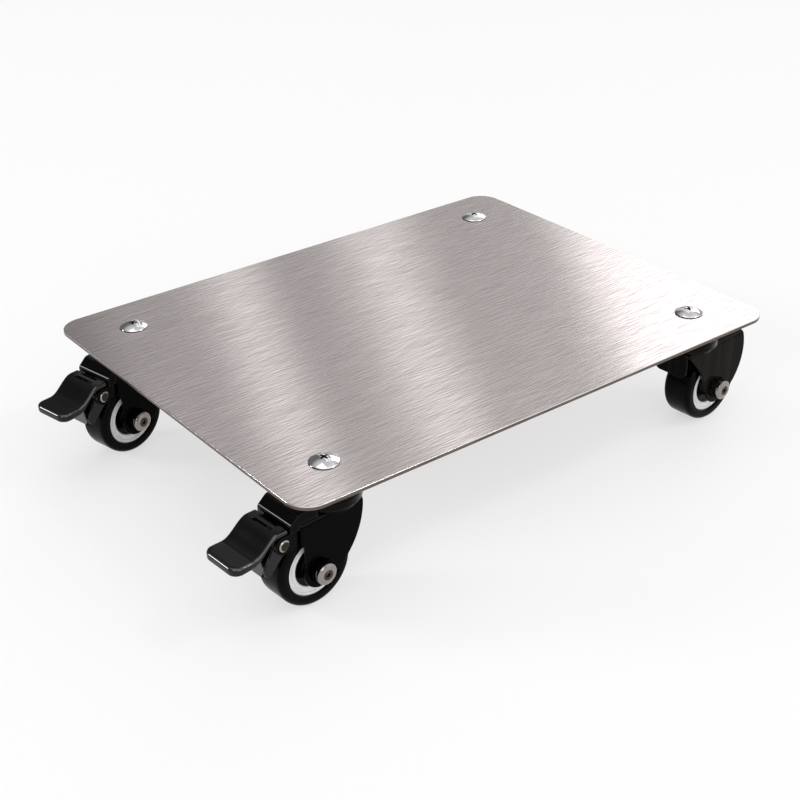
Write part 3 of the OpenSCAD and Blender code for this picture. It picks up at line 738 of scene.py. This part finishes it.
def add_world():
    world = bpy.data.worlds.new("studio")
    made = Nodes(world, "ShaderNodeOutputWorld")
    place = made.add("ShaderNodeTexCoord")
    direction = made.add("ShaderNodeSeparateXYZ")
    made.link(place.outputs["Generated"], direction.inputs["Vector"])
    total = WORLD_BASE
    for axis, (low, high, level) in WORLD_PARTS.items():
        change = made.add("ShaderNodeMapRange", {"From Min": low, "From Max": high, "To Max": level},
                          interpolation_type="SMOOTHSTEP")
        made.link(direction.outputs[axis], change.inputs["Value"])
        total = made.math("ADD", change.outputs["Result"], total)
    background = made.add("ShaderNodeBackground")
    made.link(total, background.inputs["Color"])
    made.link(background.outputs["Background"], made.output.inputs["Surface"])
    bpy.context.scene.world = world


def add_lamp(name, position, width, height, glow, along=(0, 0, 1)):
    """A soft box that faces the origin. glow is how bright it looks, where 1 is white."""
    data = bpy.data.lights.new(name, "AREA")
    data.shape = "RECTANGLE"
    data.size = width
    data.size_y = height
    data.energy = glow * pi * width * height
    back = Vector(position).normalized()
    up = (Vector(along) - back * back.dot(Vector(along))).normalized()
    side = up.cross(back)
    turn = Matrix((side, up, back)).transposed().to_4x4()
    lamp = new_object(name, data)
    lamp.matrix_world = Matrix.Translation(position) @ turn
    lamp.visible_camera = False


# Tall strips of light far behind the deck, whose reflections are the deck's bands: how far each
# stands to the right as a sine, how wide it looks, its glow, and the elevation at which it starts
STRIP_DISTANCE = 12.0
STRIP_TOP = 72.0
STRIPS = {
    "far_left_strip": (0.385, 0.05, 0.4, 28.0),
    "left_strip": (0.455, 0.036, 1.1, 8.0),
    "middle_strip": (0.552, 0.045, 0.95, 8.0),
    "right_panel": (0.79, 0.38, 1.9, 20.0),
    "high_right_strip": (0.612, 0.07, 0.9, 52.0),
}

# Soft boxes: place in metres, width, height, glow and, for the one overhead, which way it lies
LAMPS = {
    "top_soft_box": ((-0.5, 0.2, 2.4), 1.2, 1.2, 1.0, (0, 1, 0)),
    "front_soft_box": ((-0.5, -2.6, 1.1), 1.6, 1.2, 1.7),
    "low_left_panel": ((-2.6, 2.2, 1.25), 0.8, 0.8, 20.0),
    "front_right_spot": ((1.05, -1.08, 1.87), 0.3, 0.3, 16.0),
    "front_left_spot": ((-2.2, -0.9, 1.5), 0.25, 0.35, 14.0),
}


def add_strip(name, sine, width, glow, low):
    middle = radians((low + STRIP_TOP) / 2)
    flat = sqrt(1 - sine * sine)
    back = Vector((sine, flat * cos(middle), flat * sin(middle)))
    height = 2 * STRIP_DISTANCE * flat * tan(radians(STRIP_TOP - low) / 2)
    along = (0, -sin(middle), cos(middle))
    add_lamp(name, back * STRIP_DISTANCE, width * STRIP_DISTANCE, height, glow, along)


def add_lights():
    for name, values in STRIPS.items():
        add_strip(name, *values)
    for name, values in LAMPS.items():
        add_lamp(name, *values)


# Deck
def add_deck(materials):
    """The deck, in its materials for the flat faces, the eased top edge and the cut side."""
    low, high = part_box("deck_plate")
    width, depth, thick = (high - low) / MM
    signs = ((-1, -1), (1, -1), (1, 1), (-1, 1))
    corners = [(x * width / 2, y * depth / 2, DECK_CORNER_R) for x, y in signs]
    holes = [circle(*(caster_place(name).translation.xy / MM), SCREW_HOLE_R) for name in CASTERS]
    mesh = bmesh.new()
    rounded_sheet(mesh, [rounded(corners, 20)] + holes, between(2, 0, -thick), DECK_ARRIS_R)
    place = Matrix.Scale(MM, 4)
    deck = make_piece("deck_sheet", mesh, place, materials, "deck", ["deck_plate"], "deck_steel")
    layer = deck.data.uv_layers.new(name="grain")
    for loop in deck.data.loops:
        point = deck.data.vertices[loop.vertex_index].co
        layer.data[loop.index].uv = (point.x, point.y)
    for face in deck.data.polygons:
        if abs(face.normal.z) > FLAT_NORMAL:
            face.material_index = 0
        elif face.normal.z > EASED_NORMAL:
            face.material_index = 1
        else:
            face.material_index = 2


def plus_outline():
    """The cross of the screws' recess."""
    tip, arm = RECESS_SPAN / 2, RECESS_ARM / 2
    corners = []
    for quarter in range(4):
        turn = Matrix.Rotation(radians(90 * quarter), 2)
        for x, y, r in ((tip, -arm, RECESS_TIP_R), (tip, arm, RECESS_TIP_R), (arm, arm, RECESS_INNER_R)):
            corners.append((*(turn @ Vector((x, y))), r))
    return rounded(corners, 2)


def dome(top, radius, rise, edge, steps):
    """Profile of a domed head, from its middle at height top out to the radius edge."""
    sphere_r = (radius ** 2 + rise ** 2) / (2 * rise)
    last = degrees(asin(edge / sphere_r))
    return [(p.y, p.x) for p in arc(top - sphere_r, 0, sphere_r, 0, last, steps)]


def add_screw(name, materials):
    """A deck screw, whose recess and foot of the head take the second material, a painted shade."""
    rise = SCREW_HEAD_H - SCREW_BRIM_H
    profile = [
        *dome(SCREW_HEAD_H, SCREW_HEAD_R, rise, SCREW_HEAD_R - 0.15, 20),
        (SCREW_HEAD_R, 0.5), (SCREW_HEAD_R - 0.06, SCREW_FOOT_H), (SCREW_HEAD_R - 0.5, 0.0), (SCREW_R, 0.0),
        (SCREW_R, SCREW_END_BEVEL - SCREW_LEN), (SCREW_R - SCREW_END_BEVEL, -SCREW_LEN), (0, -SCREW_LEN)]
    mesh = bmesh.new()
    lathe(mesh, profile, closed=False)
    place = caster_place(name) @ Matrix.Rotation(radians(RECESS_TURNS[name]), 4, "Z")
    nodes = ["deck_screws"] if name == CASTERS[0] else []
    head = make_piece(name + "_screw", mesh, place, materials, "deck", nodes, "screw_chrome")
    cutter = bmesh.new()
    levels = ((SCREW_HEAD_H + 0.5, RECESS_MOUTH), (SCREW_HEAD_H - RECESS_DEPTH, RECESS_FLOOR))
    close_block(cutter, [[cutter.verts.new((p.x * scale, p.y * scale, z)) for p in plus_outline()]
                         for z, scale in levels])
    # Painted shade in the recess
    for face in cutter.faces:
        face.material_index = 1
    carve(head, cutter, place)
    # Painted shade: a dark ring round the foot of the head
    for face in head.data.polygons:
        if face.center.z < SCREW_FOOT_H * MM:
            face.material_index = 1


def close_block(mesh, rings):
    """Walls between two rings of vertices, and a face over each."""
    count = len(rings[0])
    for i in range(count):
        j = (i + 1) % count
        mesh.faces.new((rings[0][i], rings[0][j], rings[1][j], rings[1][i]))
    mesh.faces.new(rings[0])
    mesh.faces.new(rings[1])


def carve(piece, cutter, place):
    """Cuts the drawn cutter, carried by place, out of a piece for good."""
    bmesh.ops.recalc_face_normals(cutter, faces=cutter.faces)
    bmesh.ops.transform(cutter, matrix=place, verts=cutter.verts)
    tool = new_object("cutter", mesh_data("cutter", cutter))
    cut = piece.modifiers.new("cut", "BOOLEAN")
    cut.operation = "DIFFERENCE"
    cut.solver = "EXACT"
    cut.object = tool
    piece.modifiers["normals"].show_viewport = False
    depsgraph = bpy.context.evaluated_depsgraph_get()
    carved = bpy.data.meshes.new_from_object(piece.evaluated_get(depsgraph))
    piece.modifiers.remove(cut)
    piece.modifiers["normals"].show_viewport = True
    piece.data = carved
    carved.set_sharp_from_angle(angle=radians(SHARP_ANGLE))
    bpy.data.objects.remove(tool)


# Swivel head
def ball_groove(top):
    """The groove that the upper balls run in, cut into a face at height top."""
    half = degrees(acos(abs(top - BALL_Z) / BALL_GROOVE_R))
    middle = 90 if top > BALL_Z else -90
    return arc(BALL_PITCH_R, BALL_Z, BALL_GROOVE_R, middle + half, middle - half, 8)


def add_race(name, material):
    """The upper race: a dished ring whose skirt hangs round the balls."""
    inner = RACE_R - RACE_WALL
    skirt_end = SKIRT_BOTTOM + 0.5
    dish = POST_BOTTOM - RACE_DISH
    profile = [
        (RIVET_R, POST_BOTTOM), (RIVET_R, RACE_BOTTOM), *ball_groove(RACE_BOTTOM),
        (inner - 0.6, RACE_BOTTOM), (inner, RACE_BOTTOM - 0.6), (inner, skirt_end),
        *arc(RACE_R - RACE_WALL / 2, skirt_end, RACE_WALL / 2, 180, 360, 8),
        (RACE_R, POST_BOTTOM - 3.2), (RACE_R - RACE_STEP, POST_BOTTOM - 2.9),
        *arc(RACE_R - RACE_STEP - RACE_ROUND_R, POST_BOTTOM - RACE_ROUND_R, RACE_ROUND_R, 0, 90, 10),
        (12.0, POST_BOTTOM), (11.4, dish), (9.0, dish), (8.6, POST_BOTTOM)]
    mesh = bmesh.new()
    lathe(mesh, profile)
    make_piece(name + "_race", mesh, caster_place(name), [material], "deck", [name + "_upper_race"],
               "race_steel")


# Fork
def bend(half_w, top, thick, r):
    """A sheet bent down at both sides: where it is in space, and where a height lies in the flat."""
    middle_r = r - thick / 2
    flat = half_w - r
    turn = middle_r * pi / 2
    low = top - r

    def locate(x, s):
        side = 1 if s >= 0 else -1
        t = abs(s)
        if t <= flat:
            return Vector((x, s, top - thick / 2)), Vector((0, 0, 1))
        if t <= flat + turn:
            a = (t - flat) / middle_r
            out = Vector((0, side * sin(a), cos(a)))
            return Vector((x, side * flat, low)) + out * middle_r, out
        return Vector((x, side * (half_w - thick / 2), low - (t - flat - turn))), Vector((0, side, 0))

    def unbend(z):
        if z <= low:
            return flat + turn + low - z
        return flat + middle_r * acos(min(1.0, (z - low) / middle_r))

    return locate, unbend


def reach_r(reach, drop):
    """Radius of a flank that starts upright and meets the leg's round end."""
    return (reach ** 2 + drop ** 2 - LEG_END_R ** 2) / (2 * (reach - LEG_END_R))


def braked_side():
    """Side view of a braked fork's leg: wide in front, cut away behind for the brake."""
    drop_z = CROWN_TOP - BRAKE_FLANK_DROP
    r = reach_r(TRAIL + BRAKE_LEAD, drop_z - AXLE_Z)
    cx = r - BRAKE_LEAD
    meet = degrees(atan2(AXLE_Z - drop_z, TRAIL - cx)) + 360
    flank_a = degrees(acos(REAR_FLANK))
    flank_x = TRAIL + REAR_FLANK * LEG_END_R
    step_z = AXLE_Z + REAR_STEP * AXLE_DROP
    return (
        [Vector((-BRAKE_LEAD, CROWN_TOP))]
        + arc(cx, drop_z, r, 180, meet)
        + arc(TRAIL, AXLE_Z, LEG_END_R, meet, 360 + flank_a)
        + curve((flank_x, step_z), (flank_x, step_z + 5), (BRAKE_TRAIL, step_z + 6), 10)
        + [Vector((BRAKE_TRAIL, CROWN_TOP))])


def plain_side():
    """Side view of a plain fork's leg: it sweeps back over the wheel and is cut away in front."""
    drop_z = CROWN_TOP - PLAIN_FLANK_DROP
    r = reach_r(PLAIN_TRAIL - TRAIL, drop_z - AXLE_Z)
    cx = PLAIN_TRAIL - r
    meet = degrees(atan2(AXLE_Z - drop_z, TRAIL - cx))
    top_a = degrees(asin((CROWN_TOP - drop_z) / r))
    front_a = radians(PLAIN_FRONT_TURN)
    front = (TRAIL + LEG_END_R * cos(front_a), AXLE_Z + LEG_END_R * sin(front_a))
    return (
        [Vector((-PLAIN_LEAD, CROWN_TOP))]
        + curve((-PLAIN_LEAD, CROWN_TOP - 1.5), (4, AXLE_Z + 0.4 * AXLE_DROP), front)
        + arc(TRAIL, AXLE_Z, LEG_END_R, PLAIN_FRONT_TURN, 360 + meet)
        + arc(cx, drop_z, r, meet, top_a))


def leg_boss(x, z):
    """How far the boss round the axle stands out of a fork's leg."""
    away = hypot(x - TRAIL, z - AXLE_Z)
    return LEG_BOSS_H * (1 - ease((away - LEG_BOSS_R + LEG_BOSS_SLOPE) / LEG_BOSS_SLOPE))


def add_flap(mesh):
    """The flap that hangs from the front of a plain fork's crown, just inside its front edge."""
    top = CROWN_TOP - FORK_T / 2
    bottom = CROWN_TOP - FLAP_H
    outline = rounded([(-FLAP_HALF_W, bottom, FLAP_CORNER_R), (FLAP_HALF_W, bottom, FLAP_CORNER_R),
                       (FLAP_HALF_W, top, 0.3), (-FLAP_HALF_W, top, 0.3)], 10)
    surface = between(0, 0.05 - PLAIN_LEAD, FORK_T - PLAIN_LEAD)
    rounded_sheet(mesh, [subdivided(outline, 2.0)], surface, FORK_EDGE_R)


def mirrored_sides(side, unbend, longest):
    """A bent sheet's whole outline in the flat, from the side view of one of its legs."""
    half = [Vector((p.x, unbend(p.y))) for p in side]
    return subdivided(half + [Vector((p.x, -p.y)) for p in reversed(half)], longest)


def add_fork(name, materials):
    """A fork of bent sheet, whose bends take the second material, a painted sheen."""
    locate, unbend = bend(LEG_OUT, CROWN_TOP, FORK_T, FORK_BEND_R)

    def surface(x, s):
        middle, out = locate(x, s)
        rise = leg_boss(middle.x, middle.z) if abs(middle.y) > LEG_OUT - FORK_T else 0
        return middle + out * (FORK_T / 2 + rise), middle - out * FORK_T / 2

    outline = mirrored_sides(braked_side() if name in BRAKED else plain_side(), unbend, 0.9)
    axle_s = unbend(AXLE_Z)
    holes = [circle(TRAIL, s, AXLE_R + 0.05) for s in (-axle_s, axle_s)]
    bend_z = CROWN_TOP - FORK_BEND_R
    bends = [s * k for s in (-1, 1) for k in spread(unbend(CROWN_TOP), unbend(bend_z), 7)]
    grid = grid_points(spread(-BRAKE_LEAD, PLAIN_TRAIL + 1, 40), bends)
    for s in (-axle_s, axle_s):
        for r in LEG_BOSS_RINGS:
            grid += circle(TRAIL, s, r)
    mesh = bmesh.new()
    rounded_sheet(mesh, [outline] + holes, surface, FORK_EDGE_R, grid)
    if name not in BRAKED:
        add_flap(mesh)
    sheet = make_caster_piece(name, "_fork_sheet", mesh, materials, "_fork", "fork_paint")
    # The upper bends take the painted sheen
    for face in sheet.data.polygons:
        bent = BEND_NORMALS[0] < abs(face.normal.z) < BEND_NORMALS[1]
        high = face.center.z > bend_z * MM
        face.material_index = 1 if bent and high else 0


def add_crown(name, material):
    """The fork's raised crown, which the balls run on."""
    hole_r = RIVET_R + 0.03
    disc_top = CROWN_TOP + 0.03
    profile = [
        (hole_r, BOSS_TOP), (hole_r, CROWN_BOTTOM), (CROWN_R - 0.5, CROWN_BOTTOM),
        *arc(CROWN_R - 0.7, disc_top - 0.7, 0.7, 0, 90, 6), (BOSS_R + 0.5, disc_top),
        *arc(BOSS_R - 1.0, BOSS_TOP - 1.0, 1.0, 0, 90, 6), *reversed(ball_groove(BOSS_TOP))]
    mesh = bmesh.new()
    lathe(mesh, profile)
    make_caster_piece(name, "_crown", mesh, [material], None, "fork_paint")


# Axle
def add_axle(name, materials):
    """The axle bolt. The middle of its head takes the second material, a painted shade."""
    side = HEAD_SIDE[name]
    face = LEG_FACE + AXLE_HEAD_H
    end = -LEG_FACE - NUT_H - 1
    profile = [
        (0, end), (AXLE_R - 0.7, end), (AXLE_R, end + 0.7), (AXLE_R, LEG_FACE),
        (AXLE_HEAD_R - 0.3, LEG_FACE), (AXLE_HEAD_R, LEG_FACE + 0.3), (AXLE_HEAD_R, face - 1.5),
        (AXLE_HEAD_R - 0.12, face - 1.2), (AXLE_HEAD_R - 0.9, face - 0.62),
        (AXLE_HEAD_R - 1.5, face - 0.4), (3.9, face - 0.12), (3.2, face - 0.04), (3.1, face - 0.1)]
    middle = [
        profile[-1], (3.0, face - 0.3), (2.3, face - 0.3), (2.1, face - 0.05), (1.6, face - 0.05),
        (1.45, face - 0.2), (1.3, face - 1.1), (0, face - 1.2)]
    mesh = bmesh.new()
    lathe(mesh, middle, axle_place(side), closed=False)
    # Painted shade in the middle of the head, round its dimple
    for dark in mesh.faces:
        dark.material_index = 1
    lathe(mesh, profile, axle_place(side), closed=False)
    make_caster_piece(name, "_axle", mesh, materials, "_axle_bolt", "axle_chrome", sharp=30)


def nut_profile(a):
    """The nut's profile at the angle a: a hexagon with a bevelled outer end."""
    end = -LEG_FACE - NUT_H
    bevel_r = NUT_ACROSS / 2 - 0.25
    across = NUT_ACROSS / 2 / cos((a % (pi / 3)) - pi / 6)
    drop = max(0.0, across - bevel_r) * tan(radians(30))
    return [(AXLE_R + 0.05, -LEG_FACE), (AXLE_R + 0.05, end + 0.4), (AXLE_R + 0.45, end), (bevel_r, end),
            (across, end + drop), (across, -LEG_FACE - 0.2), (across - 0.2, -LEG_FACE)]


def add_nut(name, material):
    mesh = bmesh.new()
    lathe(mesh, nut_profile, axle_place(HEAD_SIDE[name]), 120)
    make_caster_piece(name, "_nut", mesh, [material], "_axle_nut", "axle_chrome", sharp=25)


# Wheel
def mirrored(half):
    """A closed profile from its half with height above zero, listed from the inside out."""
    return half + [(r, -z) for r, z in reversed(half)]


def core_half():
    lip_r = CORE_R - CORE_LIP_W
    groove_r = lip_r - CORE_GROOVE_W
    groove_z = CORE_FACE - CORE_GROOVE_DEPTH
    seat_r = COVER_R + 0.05
    return [
        (SHOULDER_R, SHOULDER_HALF_W), (BEARING_R, SHOULDER_HALF_W), (BEARING_R, SEAT_FACE),
        (seat_r, SEAT_FACE), (seat_r, CORE_FACE - 0.9), (COVER_R + 0.35, CORE_FACE - 0.4),
        (COVER_R + 0.9, CORE_FACE - 0.15), (groove_r - 0.9, CORE_FACE - 0.15),
        (groove_r - 0.3, CORE_FACE - 0.35), (groove_r, groove_z + 0.2), (groove_r + 0.3, groove_z),
        (lip_r - 0.3, groove_z), (lip_r, groove_z + 0.25), (lip_r + 0.15, CORE_FACE - 0.2),
        (lip_r + 0.45, CORE_FACE), (CORE_R - 0.35, CORE_FACE), (CORE_R - 0.05, CORE_FACE - 0.25),
        (CORE_R, CORE_FACE - 0.6)]


def tyre_half():
    shoulder = WHEEL_HALF_W - TYRE_ROUND_R
    return [
        (CORE_R + 0.05, WHEEL_HALF_W - 0.7), (CORE_R + 0.25, WHEEL_HALF_W - 0.2),
        (CORE_R + 0.8, WHEEL_HALF_W), *arc(WHEEL_R - TYRE_ROUND_R, shoulder, TYRE_ROUND_R, 90, 4, 12),
        (WHEEL_R, shoulder - 1.2), (WHEEL_R, 0.5), (WHEEL_R - 0.12, 0.25)]


def cover_ring():
    top = SEAT_FACE + COVER_T
    hole_r = SLEEVE_R + 0.5
    return [
        (hole_r, SEAT_FACE), (hole_r, top - 0.15), (hole_r + 0.15, top), (hole_r + 1.0, top),
        (hole_r + 1.25, top - 0.4), (COVER_R - 1.7, top - 0.4), (COVER_R - 1.4, top - 0.05),
        (COVER_R - 0.25, top), (COVER_R, top - 0.25), (COVER_R, SEAT_FACE)]


def add_wheel(name, core_material, tyre_material, cover_material):
    for ending, profile, sides, material, node, slot in (
            ("_wheel_ring", mirrored(core_half()), (1,), core_material, "_wheel_core", "core_white"),
            ("_tyre_ring", mirrored(tyre_half()), (1,), tyre_material, "_tyre", "tyre_black"),
            ("_covers", cover_ring(), (1, -1), cover_material, "_hub_covers", "cover_black")):
        mesh = bmesh.new()
        for side in sides:
            lathe(mesh, profile, axle_place(side))
        make_caster_piece(name, ending, mesh, [material], node, slot, "_wheel_body", 40)


# Foot brake
def add_bracket(name, materials):
    """The bent bracket whose ears carry the brake pin, and its upright wall."""
    locate, unbend = bend(BRACKET_OUT, CROWN_BOTTOM, BRACKET_T, BRACKET_BEND_R)

    def surface(x, s):
        middle, out = locate(x, s)
        return middle + out * BRACKET_T / 2, middle - out * BRACKET_T / 2

    low = CROWN_BOTTOM - BRACKET_BEND_R
    rear = WALL_X + BRACKET_T
    side = [
        Vector((WEB_START, CROWN_BOTTOM)), Vector((WEB_START, low)),
        *curve((WEB_START + 4, low - 3.5), (WEB_START + 6, CROWN_BOTTOM - 8),
               (WEB_START + 9, CROWN_BOTTOM - 9.2), 8),
        *arc(PIN_X, PIN_Z, EAR_R, -110, 60, 24), Vector((PIN_X + 1.6, low)),
        Vector((rear + 1.2, low)), Vector((rear, low + 1.0)), Vector((rear, CROWN_BOTTOM))]
    outline = mirrored_sides(side, unbend, 0.8)
    pin_s = unbend(PIN_Z)
    holes = [circle(PIN_X, s, PIN_R + 0.05, 32) for s in (-pin_s, pin_s)]
    bends = [s * k for s in (-1, 1) for k in spread(unbend(CROWN_BOTTOM), unbend(low), 6)]
    grid = grid_points(spread(WEB_START - 2, 40, 14), bends)
    mesh = bmesh.new()
    rounded_sheet(mesh, [outline] + holes, surface, BRACKET_EDGE_R, grid)
    half_w = BRACKET_OUT - BRACKET_BEND_R
    bottom = CROWN_BOTTOM - BRACKET_T + 0.1
    top = HOOD_TOP - HOOD_R
    wall = rounded([(-half_w, bottom, 0.3), (half_w, bottom, 0.3), (half_w, top, 1.5), (-half_w, top, 1.5)])
    rounded_sheet(mesh, [subdivided(wall, 2.0)], between(0, WALL_X, rear), BRACKET_EDGE_R)
    make_caster_piece(name, "_bracket", mesh, materials, "_brake_bracket", "bracket_paint")


def hood_side(t, low, end):
    """Side view of the hood, set in by t: a roof, a slope, a rounded lip and an upright front."""
    lip_x = HOOD_REACH - HOOD_R
    lip_z = HOOD_TOP - HOOD_R
    lip = arc(lip_x, lip_z, HOOD_R - t, 0, 90 - ROOF_SLOPE, 10)
    roof_z = ROOF_Z - t
    corner_x = lip[-1].x - (roof_z - lip[-1].y) / tan(radians(ROOF_SLOPE))
    bend_r = ROOF_BEND_R - t
    reach = bend_r * tan(radians(ROOF_SLOPE / 2))
    roof = arc(corner_x - reach, roof_z - bend_r, bend_r, 90 - ROOF_SLOPE, 90, 8)
    return ([Vector((WALL_X, low)), Vector((WALL_X, end)), Vector((lip_x + HOOD_R - t, end))]
            + lip + roof + [Vector((ROOF_START, roof_z)), Vector((ROOF_START, low))])


def add_hood(name, materials):
    """The hood behind the crown: a folded cover, hollow below and cut round the race above."""
    side = hood_side(0, CROWN_TOP + HOOD_LIFT, HOOD_END)
    mesh = bmesh.new()
    rounded_sheet(mesh, [subdivided(side, 1.2)], between(1, -LEG_OUT, LEG_OUT), HOOD_EDGE_R)
    hood = make_caster_piece(name, "_hood", mesh, materials, None, "bracket_paint")
    hollow = bmesh.new()
    within = hood_side(BRACKET_T, CROWN_BOTTOM - 2, CROWN_BOTTOM - 2)
    half_w = LEG_OUT - BRACKET_T
    close_block(hollow, [[hollow.verts.new((p.x, y, p.y)) for p in within] for y in (-half_w, half_w)])
    way = bmesh.new()
    way_r = RACE_R + ROOF_GAP
    lathe(way, [(0, -30), (way_r, -30), (way_r, 0), (0, 0)], closed=False)
    for cutter in (hollow, way):
        bmesh.ops.remove_doubles(cutter, verts=cutter.verts, dist=1e-3)
        carve(hood, cutter, caster_place(name))


def add_pin(name, materials):
    """The brake pin, whose domed heads take the second material, a painted shade."""
    head = dome(BRACKET_OUT + PIN_HEAD_H, PIN_HEAD_R, PIN_HEAD_H - 0.3, PIN_HEAD_R, 12)
    mesh = bmesh.new()
    for side in (1, -1):
        lathe(mesh, head[:10], along_y(PIN_X, PIN_Z, side), 64, False)
    # Painted shade on the domed heads
    for dark in mesh.faces:
        dark.material_index = 1
    shank = mirrored(head[9:] + [(PIN_HEAD_R, BRACKET_OUT), (PIN_R, BRACKET_OUT)])
    lathe(mesh, shank, along_y(PIN_X, PIN_Z), 64, False)
    make_caster_piece(name, "_pin", mesh, materials, "_brake_pin", "pin_steel")


def groove(x, y):
    """Depth of the grip grooves in the pedal's top face."""
    deepest = 0.0
    for middle in GROOVE_XS:
        across = GROOVE_HALF_W - abs(x - middle)
        lengthwise = GROOVE_HALF_LEN - abs(y)
        deepest = max(deepest, GROOVE_DEPTH * ease(min(across, lengthwise) / GROOVE_SLOPE))
    return deepest


def add_pedal(name, materials):
    """The foot pedal. The upper faces of its rim take the second material."""
    def surface(x, y):
        top = PEDAL_TOP - PEDAL_FALL * ease((x - SLOPE_START) / SLOPE_LEN)
        along = (x - SLOPE_START) / (PEDAL_REACH - SLOPE_START)
        thick = PEDAL_T + (PEDAL_TIP_T - PEDAL_T) * ease(along)
        return Vector((x, y, top - groove(x, y))), Vector((x, y, top - thick))

    outline = subdivided(rounded([
        (PEDAL_START, -PEDAL_HALF_W, 1.2), (PEDAL_REACH, -PEDAL_HALF_W, PEDAL_CORNER_R),
        (PEDAL_REACH, PEDAL_HALF_W, PEDAL_CORNER_R), (PEDAL_START, PEDAL_HALF_W, 1.2)], 10), 1.2)
    grid = grid_points(spread(SLOPE_START + 1.6, PEDAL_REACH - 2, 26), spread(-12.6, 12.6, 10))
    for middle in GROOVE_XS:
        for step in (0.0, 0.12, 0.24, 0.36, 0.6):
            xs = [middle - GROOVE_HALF_W + step, middle + GROOVE_HALF_W - step]
            long = GROOVE_HALF_LEN - step
            grid += grid_points(xs, spread(-long, long, 20))
            grid += grid_points(spread(xs[0], xs[1], 4)[1:-1], [-long, long])
    mesh = bmesh.new()
    rounded_sheet(mesh, [outline], surface, PEDAL_EDGE_R, grid)
    for side in (-1, 1):
        add_cheek(mesh, side)
    pedal = make_caster_piece(name, "_pedal", mesh, materials, "_brake_pedal", "pedal_black", "_pedal_body")
    for face in pedal.data.polygons:
        if face.normal.z < RIM_NORMAL:
            face.material_index = 0


def add_cheek(mesh, side):
    """One of the two plates that carry the pedal on its pin, with its lever to the shoe."""
    top = PEDAL_TOP - PEDAL_T / 2
    tangent = degrees(acos((CHEEK_R - LEVER_END_R) / LEVER_LEN))
    fall = radians(LEVER_FALL)
    end = (PIN_X + LEVER_LEN * cos(fall), PIN_Z - LEVER_LEN * sin(fall))
    first = 360 - LEVER_FALL - tangent
    last = tangent - LEVER_FALL
    outline = [
        Vector((PEDAL_START + 0.3, top)), *arc(PIN_X, PIN_Z, CHEEK_R, 120, first, 16),
        *arc(*end, LEVER_END_R, first, 360 + last, 16), *arc(PIN_X, PIN_Z, CHEEK_R, last, last + 6, 2),
        *curve((PIN_X + CHEEK_R + 0.8, PIN_Z + 4.5), (SLOPE_START + 2.5, top - 2.5),
               (SLOPE_START + 5, top - 1.5), 8)]
    hole = circle(PIN_X, PIN_Z, PIN_R + 0.08, 32)
    surface = between(1, *sorted((side * CHEEK_OUT, side * (CHEEK_OUT - CHEEK_T))))
    rounded_sheet(mesh, [subdivided(outline, 1.0), hole], surface, CHEEK_EDGE_R)


def finish_nodes(materials):
    """Gives the CAD nodes that stay their own materials."""
    for node, part in frame["nodes"].items():
        for ending, material in materials.items():
            if node.endswith(ending):
                part.data.materials.clear()
                part.data.materials.append(material)
                part.data.shade_smooth()
                part.data.set_sharp_from_angle(angle=radians(SHARP_ANGLE))


def main():
    bpy.context.scene.view_settings.view_transform = "Standard"
    add_camera()
    add_floor()
    add_world()
    add_lights()
    metal = {name: bright_metal(name, *values) for name, values in METALS.items()}
    black = {name: black_coat(name, *values) for name, values in BLACKS.items()}
    nylon = white_nylon()
    # The plain forks get painted reflection streaks
    plain_fork = painted_reflection_coat("plain_fork_black", (0.0012, 0.0009, 0.0007), (0.0095, 0.0065, 0.0047), 0.04)
    arris = cut_edge("polished_arris", (0.62, 0.59, 0.57), (0.74, 0.71, 0.69), 0.14, 0.22)
    cut = cut_edge("cut_edge", (0.10, 0.08, 0.068), (0.20, 0.165, 0.145), 0.25, 0.4)
    # The rims of the bracket and the hood take the painted sheen
    bracket = [black["bracket_black_gloss"], black["painted_sheen_black"]]
    add_deck([brushed_top(), arris, cut])
    for name in CASTERS:
        fork = black["fork_black_gloss"] if name in BRAKED else plain_fork
        add_screw(name, [metal["bright_chrome"], black["screw_shadow"]])
        add_race(name, metal["race_blacked"])
        add_fork(name, [fork, black["painted_sheen_black"]])
        add_crown(name, fork)
        add_axle(name, [metal["axle_zinc"], metal["axle_head_shadow"]])
        add_nut(name, metal["plain_steel"])
        add_wheel(name, nylon, black["tyre_black"], black["cover_black"])
    for name in BRAKED:
        add_bracket(name, bracket)
        add_hood(name, bracket)
        add_pin(name, [metal["pin_zinc"], metal["pin_head_shadow"]])
        add_pedal(name, [black["pedal_black_satin"], black["pedal_rim_gloss"]])
    finish_nodes({
        "_king_rivet": metal["plain_steel"],
        "_swivel_balls": metal["bright_chrome"],
        "_lower_cup": metal["race_blacked"],
        "_axle_sleeve": metal["plain_steel"],
        "_bearing_rings": metal["plain_steel"],
        "_brake_shoe": black["bracket_black_gloss"],
        "_brake_spring": metal["spring_steel"]})


main()
